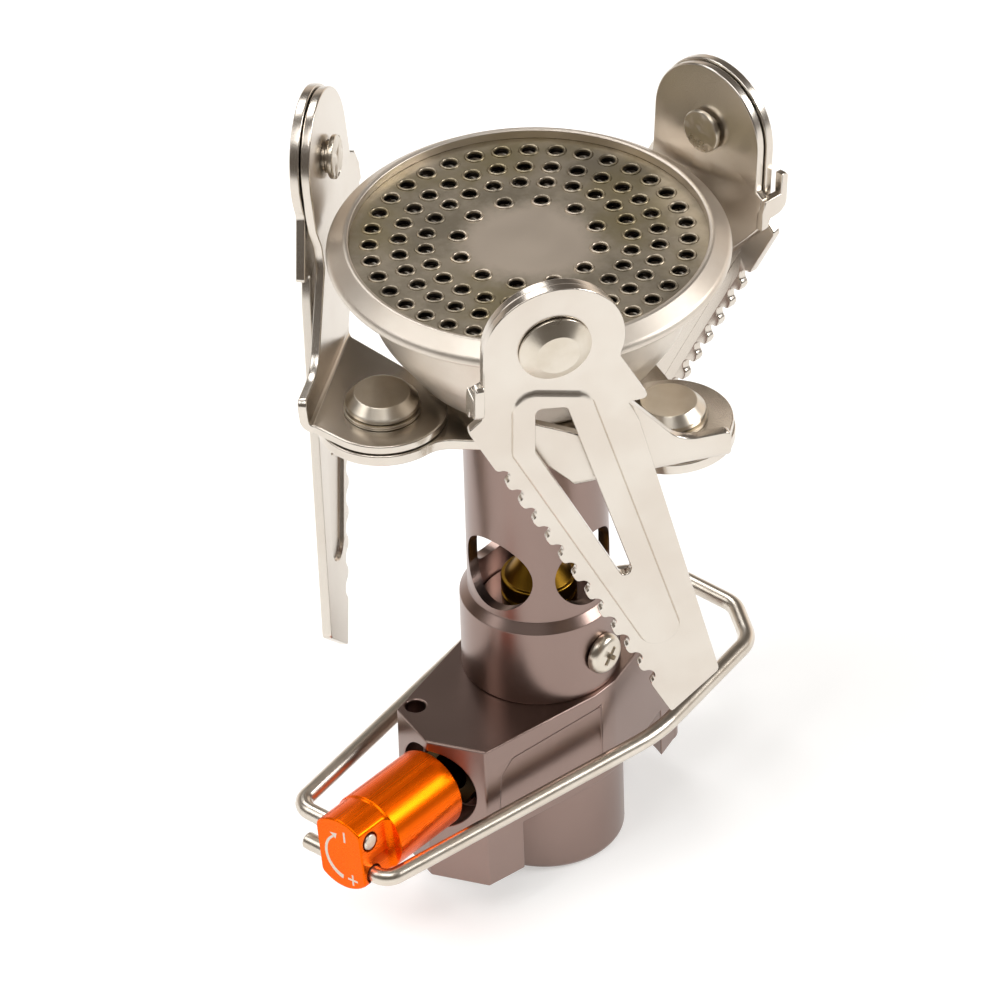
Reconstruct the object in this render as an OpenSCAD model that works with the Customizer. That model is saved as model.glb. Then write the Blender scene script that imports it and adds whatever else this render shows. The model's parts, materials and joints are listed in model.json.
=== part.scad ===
// Folding gas burner that screws onto a fuel canister.
// +Z is up, the origin is the centre of the socket mouth and the control knob points along -Y.

/* [Canister socket] */
// Outside diameter of the round boss that sits on the canister
boss_d = 20.1; // [18:0.1:24]
// Rounding of the boss's lower edge
boss_edge_r = 1.2; // [0.4:0.1:2]
// Minor diameter of the socket's thread, whose crests are a plain wall
socket_d = 10.3; // [9.4:0.1:11.4]
// Length of the socket's threaded stretch, below the relief
thread_len = 5; // [4:0.1:6]
// Depth of the socket, from its mouth to its roof
socket_depth = 9.6; // [8.6:0.1:10.4]
// Section diameter of the seal ring in the socket's roof
seal_section_d = 1.8; // [1.2:0.1:2.2]
// Diameter of the pin that opens the canister's valve
pin_d = 2.4; // [1.8:0.1:3]
// Length of the pin below the socket's roof
pin_reach = 4.2; // [3:0.1:4.6]

/* [Valve body] */
// Height of the block's top face
body_top = 26.6; // [25.4:0.1:34]
// Height of the lower faces of the block's front and rear legs
leg_bottom = 5.3; // [3:0.1:9]
// Height of the block's underside between its legs
waist_z = 12.6; // [11.6:0.1:13.2]
// Diameter of the round clearance milled between the legs
clearance_d = 32.4; // [28:0.2:34]
// Greatest width of the block
body_w = 21.2; // [20:0.2:25]
// Half length of the straight stretch at the greatest width
body_flat = 2; // [1:0.1:4]
// Width over the front corners
front_w = 14.6; // [14:0.2:20]
// Distance of the front corners from the axis
front_y = 19.6; // [18.6:0.1:21]
// Distance of the prow's edge from the axis
prow_y = 22.4; // [21.4:0.1:24]
// Width over the rear corners
rear_w = 12.8; // [10:0.2:18]
// Distance of the rear face from the axis
rear_y = 20.4; // [18:0.1:24]
// Rounding of the rear corners
rear_r = 2.4; // [1:0.1:4]
// Depth of the shallow panel on the block's sides
panel_depth = 0.3; // [0.1:0.05:0.6]
// Height of the round spigot that carries the mixing tube
spigot_h = 9.4; // [8.4:0.1:10.4]

/* [Valve and knob] */
// Height of the valve's axis
valve_z = 19.2; // [18.8:0.1:19.6]
// Diameter of the control knob
knob_d = 10.7; // [9.6:0.1:11.2]
// Length of the control knob
knob_len = 17.4; // [14:0.1:22]
// Depth of the knob's inner end behind the prow's edge
knob_inset = 0.5; // [0.2:0.1:2]
// Radial clearance round the knob in the block's counterbore
knob_gap = 0.55; // [0.3:0.05:0.7]
// Depth of the counterbore's floor from the stove's axis
counterbore_y = 16.4; // [15:0.1:17.4]
// Width over the two flats at the knob's outer end
knob_flat_w = 7.9; // [7:0.1:9]
// Length of the two flats
knob_flat_len = 7.3; // [6:0.1:9]
// Radius of the cutter at the inner end of the flats
knob_cutter_r = 2.4; // [1:0.1:3]
// Distance of the wire's holes from the knob's outer end
knob_hole_y = 1.9; // [1.6:0.1:2.6]
// Offset of each wire hole from the valve's axis
knob_hole_offset = 2.4; // [1.6:0.1:2.8]
// Diameter of the spindle inside the knob
spindle_d = 4; // [3:0.1:5]
// Diameter of the brass gland nut
gland_d = 8.2; // [7:0.1:9]

/* [Wire bail] */
// Diameter of the wire
wire_d = 2.2; // [1.6:0.1:2.6]
// Gap between the block's sides and the bail's shoulders
bail_gap = 3.1; // [2.4:0.1:5]
// Distance of the shoulders behind the stove's axis
bail_shoulder_y = 5; // [2:0.5:10]
// Half width at the rear bends
bail_rear_w = 10.5; // [8:0.1:13]
// Gap between the block's rear face and the bail's end, for a fingertip
finger_gap = 11.5; // [9:0.1:16]
// Length of the bail's end beyond its rear bends
bail_nose = 4.5; // [3:0.1:6]
// Height of the wire at the bail's rear end
bail_tip_z = 17.4; // [16:0.1:20]

/* [Mixing tube] */
// Outside diameter of the tube
tube_d = 18; // [17:0.1:19.4]
// Wall of the tube
tube_wall = 1.35; // [0.8:0.05:1.8]
// Step of the tube's collar beyond the tube
collar_step = 1.05; // [0.6:0.05:2]
// Height of the collar above the block
collar_h = 11; // [10:0.1:13]
// Height of the chamfer above the collar
collar_chamfer = 1.2; // [0.6:0.1:2]
// Diameter of the air holes
air_hole_d = 10.6; // [8:0.1:11]
// Height of the air holes' centres above the block
air_hole_z = 18.4; // [17.8:0.1:21]
// Head diameter of the tube's screw
screw_head_d = 5.4; // [4.4:0.1:6]
// Height of the tube's screw above the block
screw_z = 5.5; // [4.4:0.1:6]
// Diameter of the brass jet's head
jet_d = 9.6; // [7:0.1:11]

/* [Support plate] */
// Height of the plate's top face
plate_z = 71; // [68:0.1:80]
// Thickness of the plate
plate_t = 1.5; // [1:0.1:2]
// Distance of the swivel rivets from the axis
swivel_r = 20.5; // [19.5:0.1:22]
// Radius of the round lobes about the rivets
lobe_r = 8.2; // [7:0.1:8.4]
// Distance of the straight sides from the axis
side_r = 14.5; // [13:0.1:16]
// Turn of the burner head about the axis, in degrees
head_turn = 5.3; // [-30:0.1:30]

/* [Burner] */
// Outside diameter of the rolled rim
rim_d = 50.2; // [47:0.2:50.4]
// Height of the cup with its rim
cup_h = 21; // [18:0.1:26]
// Width of the rolled rim
rim_w = 2.8; // [2.2:0.1:3.4]
// Height of the rolled rim
rim_h = 4.4; // [3.4:0.1:5.4]
// Height of the cup's raised floor above the support plate
cup_lift = 2.1; // [1.9:0.1:3]
// Thickness of the cup's sheet
cup_wall = 0.8; // [0.5:0.05:1.2]
// Depth of the perforated plate below the rim's top
burner_sink = 1; // [0.6:0.1:1.4]
// Thickness of the perforated plate
burner_t = 0.8; // [0.5:0.1:1.2]
// Diameter of the flame holes
flame_hole_d = 1.85; // [1.2:0.05:2]
// Radius of the outermost ring of flame holes
flame_ring_r = 19.7; // [18.8:0.1:20.4]
// Distance between the rings of flame holes
flame_ring_step = 3.6; // [3:0.1:3.8]

/* [Uprights] */
// Thickness of the sheet of the uprights and arms
sheet_t = 1.2; // [0.8:0.05:1.5]
// Gap between the rim and the inner face of the uprights' upper wall, at the arm's rivet
wall_gap = 1.5; // [1.3:0.1:4]
// Outward lean of the uprights and arms, in degrees
lean = 5; // [3.5:0.5:6]
// Angle between a swivel rivet and its upright's outward direction
upright_turn = 38.6; // [34:0.1:42]
// Outward offset of the top of an upright
joggle = 0.4; // [0.2:0.1:0.5]
// Height of the low wall above the support plate
low_wall_h = 4.6; // [4:0.1:6.5]
// Reach of the low wall to the right of the upright's centre line
low_wall_reach = 18; // [17:0.1:19]
// Height of the arm rivets above the rim's top
arm_rivet_rise = 4.5; // [3.5:0.1:7]
// Offset of the arm rivets to the left of the upright's centre line
arm_rivet_left = 5.35; // [5:0.05:5.7]
// Radius of the rounded top of the uprights and arms
end_r = 9; // [8:0.1:9.4]
// Depth of the stop tab's rest below the arm's rivet
rest_depth = 6.1; // [5.8:0.1:6.4]
// Reach of the stop tab beyond the arm
tab_reach = 1.5; // [1.4:0.1:2.4]

/* [Pot arms] */
// Distance from the arm's rivet to the far end of the toothed edge
arm_reach = 64; // [58:0.5:68]
// Slope of the toothed edge from the vertical, in degrees
tooth_slope = 26.5; // [25.6:0.1:27.4]
// Number of tooth notches
tooth_count = 12; // [8:1:13]
// Distance between notches
tooth_pitch = 3.83; // [3:0.01:4]
// Diameter of a notch
notch_d = 2.3; // [1.6:0.1:2.8]
// Height of the panel pressed outwards in the arm
arm_panel_rise = 0.5; // [0.2:0.05:0.7]

/* [Rivets] */
// Diameter of the rivets' shanks
shank_d = 4; // [3:0.1:5]
// Diameter of the swivel rivets' heads
swivel_head_d = 9.2; // [8:0.1:10.4]
// Height of the swivel rivets' heads
swivel_head_h = 2; // [1.4:0.1:2.6]
// Diameter of the arm rivets' outer heads
arm_head_d = 9.2; // [8:0.1:10]
// Height of the arm rivets' outer heads
arm_head_h = 1.5; // [0.8:0.1:1.8]
// Diameter of the rivets' peened ends
peened_d = 6; // [5.4:0.1:7]
// Thickness of the spring washers under the swivel rivets' heads
washer_t = 0.5; // [0.3:0.05:0.8]

/* [Clearances] */
// Gap between faces that slide on each other
slide_gap = 0.15; // [0.1:0.01:0.25]
// Radial clearance of a turning shank in its hole
turn_gap = 0.06; // [0.03:0.01:0.1]
// Gap between a stop and what rests on it
stop_gap = 0.2; // [0.1:0.01:0.3]
// Radial clearance between pieces fixed to each other
seat_gap = 0.02; // [0.01:0.01:0.05]

/* [Hidden] */
$fn = 72;

// Cutting tools run past the faces that they cut by this much
over = 1;
// Everything on the stove fits inside this size
big = 200;
steel = [0.74, 0.70, 0.65];
bright_steel = [0.82, 0.79, 0.74];
gunmetal = [0.44, 0.38, 0.37];
brass = [0.72, 0.56, 0.22];
orange = [1.0, 0.45, 0.05];
black_rubber = [0.08, 0.08, 0.08];

// Valve passages, as distances in front of the stove's axis
gland_floor_y = 10.4;
chamber_d = 5;
seat_y = 3.4;
seat_d = 1.4;
passage_d = 1.6;
inlet_y = 6.5;
gland_flange_t = 1.6;
gland_flange_d = gland_d + 1.2;
needle_d = 3;
needle_len = 2.4;
spindle_thread_d = spindle_d + 0.8;
spindle_in_knob = 11;
knob_inner_y = prow_y - knob_inset;
knob_outer_y = knob_inner_y + knob_len;
knob_r = knob_d / 2;
wire_y = -knob_outer_y + knob_hole_y;
seal_ring_r = 3.1;

// Mixing tube
tube_base = body_top;
collar_d = tube_d + 2 * collar_step;
spigot_d = tube_d - 2 * tube_wall - 2 * seat_gap;
tube_top = plate_z - plate_t;
tube_neck_wall = 0.8;
neck_d = tube_d - 2 * tube_wall + 2 * tube_neck_wall - 1.4;
jet_hex_h = 4;
jet_nose_h = 3.4;
jet_thread_d = 5;
jet_thread_len = 5;
screw_d = 3;
screw_len = 5;
screw_head_h = 1.5;

// Burner head
rim_r = rim_d / 2;
rim_top = plate_z + cup_h;
burner_r = rim_r - rim_w + 0.5;
top_wall_x = rim_r + wall_gap;

// Uprights stand in a frame whose X axis points outwards and whose Y axis points to the right
foot_z = plate_z + slide_gap;
bend_r = sheet_t + 0.7;
arm_x = sheet_t + slide_gap;
arm_rivet_z = rim_top + arm_rivet_rise;
pivot = [swivel_r * cos(upright_turn), swivel_r * sin(upright_turn)];
foot_r = 8;
foot_left = 0.4;
// The cup's raised floor reaches as far as the swivel rivets' heads, and its seat stays clear of the feet
cup_base_r = swivel_r - swivel_head_d / 2;
cup_seat_r = swivel_r - foot_r - 1.1;
washer_d = swivel_head_d + 0.4;
washer_z = foot_z + sheet_t + slide_gap / 2;
head_z = washer_z + washer_t + slide_gap / 2;

// Heights about an arm's rivet, along the leaning wall
joggle_w = [-7.8, -5.6];
tab_low = -10.2;
tab_hook_h = 2.8;
tab_hook_w = 1.2;

// Outline of an arm about its rivet, as seen from outside with the arm folded down
shoulder = [-end_r - 1.95, -11.1];
tooth_dir = [sin(tooth_slope), -cos(tooth_slope)];
tooth_len = (arm_reach + shoulder[1]) / cos(tooth_slope);
toe = shoulder + tooth_dir * tooth_len;
heel = toe + [6.2, 5.6];
heel_up = [10.9, -14.5];
// Straight edge of the hook, which lies on the stop tab when the arm is raised
rest_from = rest_depth - stop_gap;
hook_turn = tooth_slope - acos(rest_from / end_r);
hook_run = 14.6;
hook_tip = rest_from * [cos(tooth_slope), sin(tooth_slope)] + hook_run * tooth_dir;
hook_root = [9.4, -11.2];
first_notch = 9.5;

function arc(centre, r, from, to, steps = 10) =
    [for (i = [0:steps]) let (a = from + (to - from) * i / steps) centre + r * [cos(a), sin(a)]];
function reversed(points) = [for (i = [len(points) - 1:-1:0]) points[i]];
function mirrored(points) = [for (p = reversed(points)) [-p[0], p[1]]];
function unit(v) = v / norm(v);

// Round bar of radius r from a to b
module bar(r, a, b) {
    d = b - a;
    translate(a) rotate([0, acos(d[2] / norm(d)), atan2(d[1], d[0])]) cylinder(r = r, h = norm(d));
}

// Round wire along points; each inner point has a bend radius, and the ends are square
module wire(points, bends, r) {
    last = len(points) - 1;
    turn = [for (i = [0:last]) i == 0 || i == last ? 0
        : acos(unit(points[i] - points[i - 1]) * unit(points[i + 1] - points[i]))];
    cut = [for (i = [0:last]) turn[i] == 0 ? 0 : bends[i] * tan(turn[i] / 2)];
    lap = 0.08;
    for (i = [0:last - 1]) {
        along = unit(points[i + 1] - points[i]);
        from = i == 0 ? 0 : cut[i] - lap;
        to = i == last - 1 ? 0 : cut[i + 1] - lap;
        bar(r, points[i] + along * from, points[i + 1] - along * to);
    }
    for (i = [1:last - 1]) bend(points[i], unit(points[i] - points[i - 1]),
        unit(points[i + 1] - points[i]), bends[i], turn[i], cut[i], r + 0.015);
}

// Curved stretch of a wire at corner, which comes in along a and leaves along b
module bend(corner, a, b, bend_r, turn, cut, r) {
    side = unit(b - a * (a * b));
    axis = cross(-side, a);
    start = corner - a * cut;
    centre = start + side * bend_r;
    multmatrix([[-side[0], a[0], axis[0], centre[0]], [-side[1], a[1], axis[1], centre[1]],
        [-side[2], a[2], axis[2], centre[2]], [0, 0, 0, 1]])
        rotate_extrude(angle = turn) translate([bend_r, 0]) circle(r, $fn = 24);
}

// Round cut along the valve's axis, between two distances in front of the stove's axis
module valve_bore(d, from_y, to_y) {
    translate([0, -from_y, valve_z]) rotate([90, 0, 0]) cylinder(d = d, h = to_y - from_y);
}

// One upright's own frame: X outwards, Y to the right as seen from outside
module at_upright(i) {
    rotate(head_turn + 120 * (i - 1) - upright_turn) children();
}

// Leaning frame at an arm's rivet: X out of the wall, Z up along it
module at_wall() {
    translate([top_wall_x, -arm_rivet_left, arm_rivet_z]) rotate([0, lean, 0]) children();
}

// Outline drawn as seen from outside about the arm's rivet, as a plate of thickness t from x outwards
module plate_at(x, t) {
    at_wall() translate([x, 0, 0]) rotate([90, 0, 90]) linear_extrude(t) children();
}

// Valve body

body_half = concat([[front_w / 2, -front_y], [body_w / 2, -body_flat], [body_w / 2, body_flat]],
    arc([rear_w / 2 - rear_r, rear_y - rear_r], rear_r, 0, 90));

module body_plan() {
    polygon(concat([[0, -prow_y]], body_half, mirrored(body_half)));
}

// Shallow panel on one flank of the block, from the front corner to the widest stretch
module flank_panel() {
    start = body_half[0];
    run = body_half[1] - start;
    low = waist_z + 1.6;
    high = body_top - 2.2;
    translate(start) rotate(atan2(run[1], run[0])) translate([0, panel_depth, 0]) rotate([90, 0, 0])
        linear_extrude(panel_depth + over)
            polygon([[2, low], [norm(run) + over, low], [norm(run) + over, high], [4.4, high - 0.9], [2.6, high - 2.8]]);
}

// Passages for the gas, from the socket's roof to the jet
module gas_passages() {
    bar(passage_d / 2, [0, 0, socket_depth + 2.6], [0, -inlet_y, valve_z]);
    valve_bore(seat_d, 0, seat_y + over);
    translate([0, 0, valve_z - seat_d]) cylinder(d = passage_d, h = body_top);
    translate([0, 0, body_top + spigot_h - jet_thread_len]) cylinder(d = jet_thread_d, h = jet_thread_len + over);
}

module valve_body() {
    color(gunmetal)
    difference() {
        union() {
            difference() {
                translate([0, 0, leg_bottom]) linear_extrude(body_top - leg_bottom) body_plan();
                cylinder(d = clearance_d, h = waist_z);
            }
            rotate_extrude() polygon(concat([[0, 0]],
                arc([boss_d / 2 - boss_edge_r, boss_edge_r], boss_edge_r, -90, 0),
                [[boss_d / 2, waist_z + over], [0, waist_z + over]]));
            translate([0, 0, body_top - over]) cylinder(d = spigot_d, h = spigot_h + over);
        }
        translate([0, 0, -over]) cylinder(d = socket_d, h = thread_len + 2 * over);
        translate([0, 0, thread_len]) cylinder(d = socket_d + 1.2, h = socket_depth - thread_len);
        seal_groove();
        translate([0, 0, socket_depth - over]) cylinder(d = pin_d + 2 * seat_gap, h = over + 3);
        valve_bore(knob_d + 2 * knob_gap, counterbore_y, prow_y + over);
        valve_bore(gland_d + 2 * seat_gap, gland_floor_y, counterbore_y + over);
        valve_bore(chamber_d, seat_y, gland_floor_y + over);
        gas_passages();
        translate([0, 0, body_top + screw_z]) rotate([0, 90, 0]) cylinder(d = screw_d + 2 * seat_gap, h = boss_d);
        translate([-front_w / 2 + 1.4, -front_y + 2, body_top - 3]) cylinder(d = 2.6, h = 3 + over);
        flank_panel();
        mirror([1, 0, 0]) flank_panel();
    }
}

module seal_groove() {
    wide = seal_section_d + 0.1;
    translate([0, 0, socket_depth - 0.01]) difference() {
        cylinder(r = seal_ring_r + wide / 2, h = 1);
        cylinder(r = seal_ring_r - wide / 2, h = 1);
    }
}

module canister_seal() {
    color(black_rubber)
    translate([0, 0, socket_depth + 0.97 - seal_section_d / 2])
        rotate_extrude() translate([seal_ring_r, 0]) circle(d = seal_section_d);
}

// Hollow pin that pushes the canister's valve open and lets the gas up
module canister_pin() {
    color(brass)
    difference() {
        translate([0, 0, socket_depth - pin_reach]) cylinder(d = pin_d, h = pin_reach + 2.9);
        translate([0, 0, socket_depth - pin_reach + 1.6]) cylinder(d = pin_d - 1.4, h = pin_reach + 3);
        translate([0, 0, socket_depth - pin_reach + 2.2]) rotate([0, 90, 0]) cylinder(d = 0.8, h = pin_d, center = true);
    }
}

// Valve and knob

// Spindle with its needle, as a profile along the valve's axis
module valve_spindle() {
    thread_from = gland_floor_y + 0.6;
    color(brass)
    translate([0, 0, valve_z]) rotate([90, 0, 0]) rotate_extrude() polygon([
        [0, seat_y - 0.9], [seat_d / 2 - 0.4, seat_y - 0.9], [needle_d / 2, seat_y + needle_len],
        [needle_d / 2, thread_from], [spindle_thread_d / 2, thread_from],
        [spindle_thread_d / 2, counterbore_y], [spindle_d / 2, counterbore_y],
        [spindle_d / 2, knob_inner_y + spindle_in_knob], [0, knob_inner_y + spindle_in_knob]]);
}

module spindle_seal() {
    section = (chamber_d - needle_d) / 2 - 0.06;
    color(black_rubber)
    translate([0, -gland_floor_y + section / 2 + 0.1, valve_z]) rotate([90, 0, 0])
        rotate_extrude() translate([(chamber_d + needle_d) / 4, 0]) circle(d = section);
}

// Gland nut that guides the spindle, with a six-sided flange in the counterbore
module gland_nut() {
    color(brass)
    difference() {
        union() {
            valve_bore(gland_d, gland_floor_y + 0.02, counterbore_y + 0.1);
            translate([0, -counterbore_y - 0.02, valve_z]) rotate([90, 0, 0])
                cylinder(d = gland_flange_d, h = gland_flange_t, $fn = 6);
        }
        valve_bore(spindle_thread_d + 2 * turn_gap, gland_floor_y - over, knob_inner_y);
    }
}

module control_knob() {
    edge = 0.4;
    color(orange)
    difference() {
        translate([0, 0, valve_z]) rotate([90, 0, 0]) rotate_extrude() polygon([
            [0, knob_inner_y], [knob_d / 2 - edge, knob_inner_y], [knob_d / 2, knob_inner_y + edge],
            [knob_d / 2, knob_outer_y - edge], [knob_d / 2 - edge, knob_outer_y], [0, knob_outer_y]]);
        for (x = [0, 1]) mirror([x, 0, 0]) knob_flat();
        for (side = [-1, 1]) translate([0, wire_y, valve_z + side * knob_hole_offset])
            rotate([0, 90, 0]) cylinder(d = wire_d + 0.2, h = big, center = true);
        valve_bore(spindle_d + 2 * seat_gap, knob_inner_y - over, knob_inner_y + spindle_in_knob + 0.1);
    }
}

// Milled flat on the knob's right side, with the cutter's round at its inner end
module knob_flat() {
    end_y = -knob_outer_y + knob_flat_len - knob_cutter_r;
    translate([knob_flat_w / 2, 0, valve_z - knob_d]) linear_extrude(2 * knob_d) {
        translate([0, end_y - knob_len]) square([knob_d, knob_len]);
        translate([knob_cutter_r, end_y]) circle(knob_cutter_r);
    }
}

// Wire bail

leg_z = [valve_z + knob_hole_offset, valve_z - knob_hole_offset];
left_bend = [-knob_r - 3.25, wire_y, leg_z[0]];
right_bend = [knob_r + 1.35, wire_y, leg_z[1]];
left_split = -knob_r - 0.35;
right_split = knob_flat_w / 2 + 0.65;
free_end = -knob_r - 1.85;
bail_half_w = body_w / 2 + bail_gap + wire_d / 2;
bail_tip_y = rear_y + finger_gap + wire_d / 2;
bail_rear_y = bail_tip_y - bail_nose;

module wire_bail() {
    color(bright_steel)
    wire([[left_split, wire_y, leg_z[0]], left_bend,
        [-bail_half_w, bail_shoulder_y, bail_tip_z + 2.8], [-bail_rear_w, bail_rear_y, bail_tip_z + 0.8],
        [-bail_nose, bail_tip_y, bail_tip_z], [bail_nose, bail_tip_y, bail_tip_z - 0.2],
        [bail_rear_w, bail_rear_y, bail_tip_z - 0.4], [bail_half_w, bail_shoulder_y, bail_tip_z + 1],
        right_bend, [right_split, wire_y, leg_z[1]]],
        [0, 2.6, 18, 5, 4, 4, 5, 18, 2.4, 0], wire_d / 2);
}

// Straight ends of the wire, through the knob's two holes
module bail_ends() {
    color(bright_steel) {
        bar(wire_d / 2, [left_split, wire_y, leg_z[0]], [knob_flat_w / 2, wire_y, leg_z[0]]);
        bar(wire_d / 2, [free_end, wire_y, leg_z[1]], [right_split, wire_y, leg_z[1]]);
    }
}

// Mixing tube and jet

module gas_jet() {
    base = body_top + spigot_h;
    color(brass)
    difference() {
        union() {
            translate([0, 0, base - jet_thread_len + 0.4]) cylinder(d = jet_thread_d - 2 * seat_gap, h = jet_thread_len);
            translate([0, 0, base + seat_gap]) cylinder(d = jet_d, h = jet_hex_h);
            translate([0, 0, base + jet_hex_h]) cylinder(d1 = jet_d - 0.8, d2 = 4, h = jet_nose_h);
        }
        translate([0, 0, base - jet_thread_len]) cylinder(d = 2, h = jet_thread_len + jet_hex_h);
        cylinder(d = 0.4, h = big);
    }
}

module mixing_tube() {
    r = tube_d / 2;
    bore_r = r - tube_wall;
    shoulder_z = tube_base + collar_h;
    color(gunmetal)
    difference() {
        rotate_extrude() polygon([[bore_r, tube_base], [collar_d / 2, tube_base], [collar_d / 2, shoulder_z],
            [r, shoulder_z + collar_chamfer], [r, tube_top], [neck_d / 2, tube_top],
            [neck_d / 2, plate_z + cup_wall + 0.6], [neck_d / 2 - tube_neck_wall, plate_z + cup_wall + 0.6],
            [neck_d / 2 - tube_neck_wall, tube_top - 1.5], [bore_r, tube_top - 1.5 - 0.8]]);
        for (turn = [0, 90]) translate([0, 0, tube_base + air_hole_z]) rotate(turn) rotate([90, 0, 0])
            cylinder(d = air_hole_d, h = 2 * tube_d, center = true);
        translate([0, 0, tube_base + screw_z]) rotate([0, 90, 0]) cylinder(d = screw_d + 0.2, h = tube_d);
    }
}

// Pan-head screw with a cross recess, which holds the tube's collar to the spigot
module tube_screw() {
    seat = collar_d / 2;
    color(bright_steel)
    translate([0, 0, tube_base + screw_z]) rotate([0, 90, 0]) difference() {
        union() {
            translate([0, 0, seat - screw_len]) cylinder(d = screw_d, h = screw_len + 0.2);
            translate([0, 0, seat]) rotate_extrude() polygon(concat([[0, 0], [screw_head_d / 2, 0]],
                arc([screw_head_d / 2 - 1.1, screw_head_h - 1.1], 1.1, 0, 90), [[0, screw_head_h]]));
        }
        for (turn = [45, 135]) translate([0, 0, seat + screw_head_h]) rotate(turn) cube([2.6, 0.6, 1.6], center = true);
    }
}

// Support plate

module support_outline() {
    fillet = 4;
    offset(r = -fillet, $fn = 48) offset(delta = fillet, $fn = 48) {
        intersection() {
            circle(r = 2 * side_r, $fn = 3);
            circle(r = swivel_r);
        }
        for (i = [0:2]) rotate(120 * i) translate([swivel_r, 0]) circle(lobe_r, $fn = 48);
    }
}

module support_plate() {
    color(steel)
    translate([0, 0, plate_z - plate_t]) rotate(head_turn) difference() {
        linear_extrude(plate_t) support_outline();
        translate([0, 0, -over]) cylinder(d = neck_d + 2 * seat_gap, h = plate_t + 2 * over);
        for (i = [0:2]) rotate(120 * i) translate([swivel_r, 0, -over])
            cylinder(d = shank_d + 2 * seat_gap, h = plate_t + 2 * over);
    }
}

// Burner

// Cup pressed from sheet, seated on the support plate, with its rim rolled over the perforated plate
module burner_cup() {
    bore_r = neck_d / 2 + seat_gap;
    inner_r = rim_r - rim_w;
    side_top = rim_top - rim_h;
    floor_z = plate_z + cup_lift;
    edge_r = 4;
    lip = 1.3;
    plate_top = rim_top - burner_sink;
    ledge = plate_top - burner_t - seat_gap;
    side = concat([[cup_seat_r - 0.6, plate_z], [cup_seat_r, plate_z + 0.6], [cup_seat_r, floor_z - 0.6],
        [cup_seat_r + 0.6, floor_z]],
        arc([cup_base_r - edge_r * cos(28), floor_z + edge_r], edge_r, -90, -28, 8), [[inner_r, side_top - 0.8]]);
    color(steel)
    rotate_extrude() polygon(concat([[bore_r, plate_z]], side, [[rim_r - 0.8, side_top]],
        arc([rim_r - lip, side_top + lip], lip, -50, 0, 4),
        arc([rim_r - lip, rim_top - lip], lip, 0, 90, 6),
        arc([inner_r + lip, rim_top - lip], lip, 90, 165, 6),
        [[inner_r, plate_top], [burner_r + 0.05, plate_top], [burner_r + 0.05, ledge], [inner_r - 0.6, ledge]],
        reversed([for (p = side) p + [-cup_wall * 0.7, cup_wall]]),
        [[bore_r, plate_z + cup_wall]]));
}

// Perforated plate with four rings of flame holes round its plain middle
module burner_plate() {
    rings = [36, 30, 24, 12];
    radius = [flame_ring_r, flame_ring_r - flame_ring_step, flame_ring_r - 2 * flame_ring_step + 0.3,
        flame_ring_r - 3 * flame_ring_step];
    color(bright_steel)
    translate([0, 0, rim_top - burner_sink - burner_t]) difference() {
        cylinder(r = burner_r, h = burner_t);
        for (ring = [0:3], i = [0:rings[ring] - 1]) rotate(360 / rings[ring] * i)
            translate([radius[ring], 0, -over]) cylinder(d = flame_hole_d, h = burner_t + 2 * over, $fn = 24);
    }
}

// Swivels

module at_swivel(i) {
    rotate(head_turn + 120 * (i - 1)) translate([swivel_r, 0, 0]) children();
}

module swivel_rivet(i) {
    bottom = plate_z - plate_t;
    color(bright_steel)
    at_swivel(i) rotate_extrude() polygon([
        [0, bottom - 0.9], [peened_d / 2 - 0.6, bottom - 0.9], [peened_d / 2, bottom - seat_gap],
        [shank_d / 2, bottom - seat_gap], [shank_d / 2, head_z],
        [swivel_head_d / 2 - 0.3, head_z], [swivel_head_d / 2, head_z + 0.3],
        [swivel_head_d / 2, head_z + swivel_head_h * 0.4], [swivel_head_d / 2 - 1.1, head_z + swivel_head_h],
        [0, head_z + swivel_head_h]]);
}

module swivel_washer(i) {
    color(bright_steel)
    at_swivel(i) translate([0, 0, washer_z]) difference() {
        cylinder(d = washer_d, h = washer_t);
        translate([0, 0, -over]) cylinder(d = shank_d + 2 * turn_gap, h = washer_t + 2 * over);
    }
}

// Uprights

// Point of the upright's section, at x out of the leaning wall and w up along it
function wall_point(x, w) = [top_wall_x + x * cos(lean) + w * sin(lean), arm_rivet_z - x * sin(lean) + w * cos(lean)];

bend_x = sheet_t - joggle - bend_r;
bend_centre = wall_point(bend_x, (foot_z + bend_r - arm_rivet_z + bend_x * sin(lean)) / cos(lean));

// Section of the bent sheet, with X outwards and Y up: foot, round bend, wall, joggle and top
module upright_section() {
    top = end_r + over;
    polygon(concat(
        [[pivot[0] + foot_r / 2, foot_z]], arc(bend_centre, bend_r, -90, -lean),
        [wall_point(sheet_t - joggle, joggle_w[0]), wall_point(sheet_t, joggle_w[1]), wall_point(sheet_t, top),
         wall_point(0, top), wall_point(0, joggle_w[1]), wall_point(-joggle, joggle_w[0])],
        arc(bend_centre, bend_r - sheet_t, -lean, -90),
        [[pivot[0] + foot_r / 2, foot_z + sheet_t]]));
}

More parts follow.
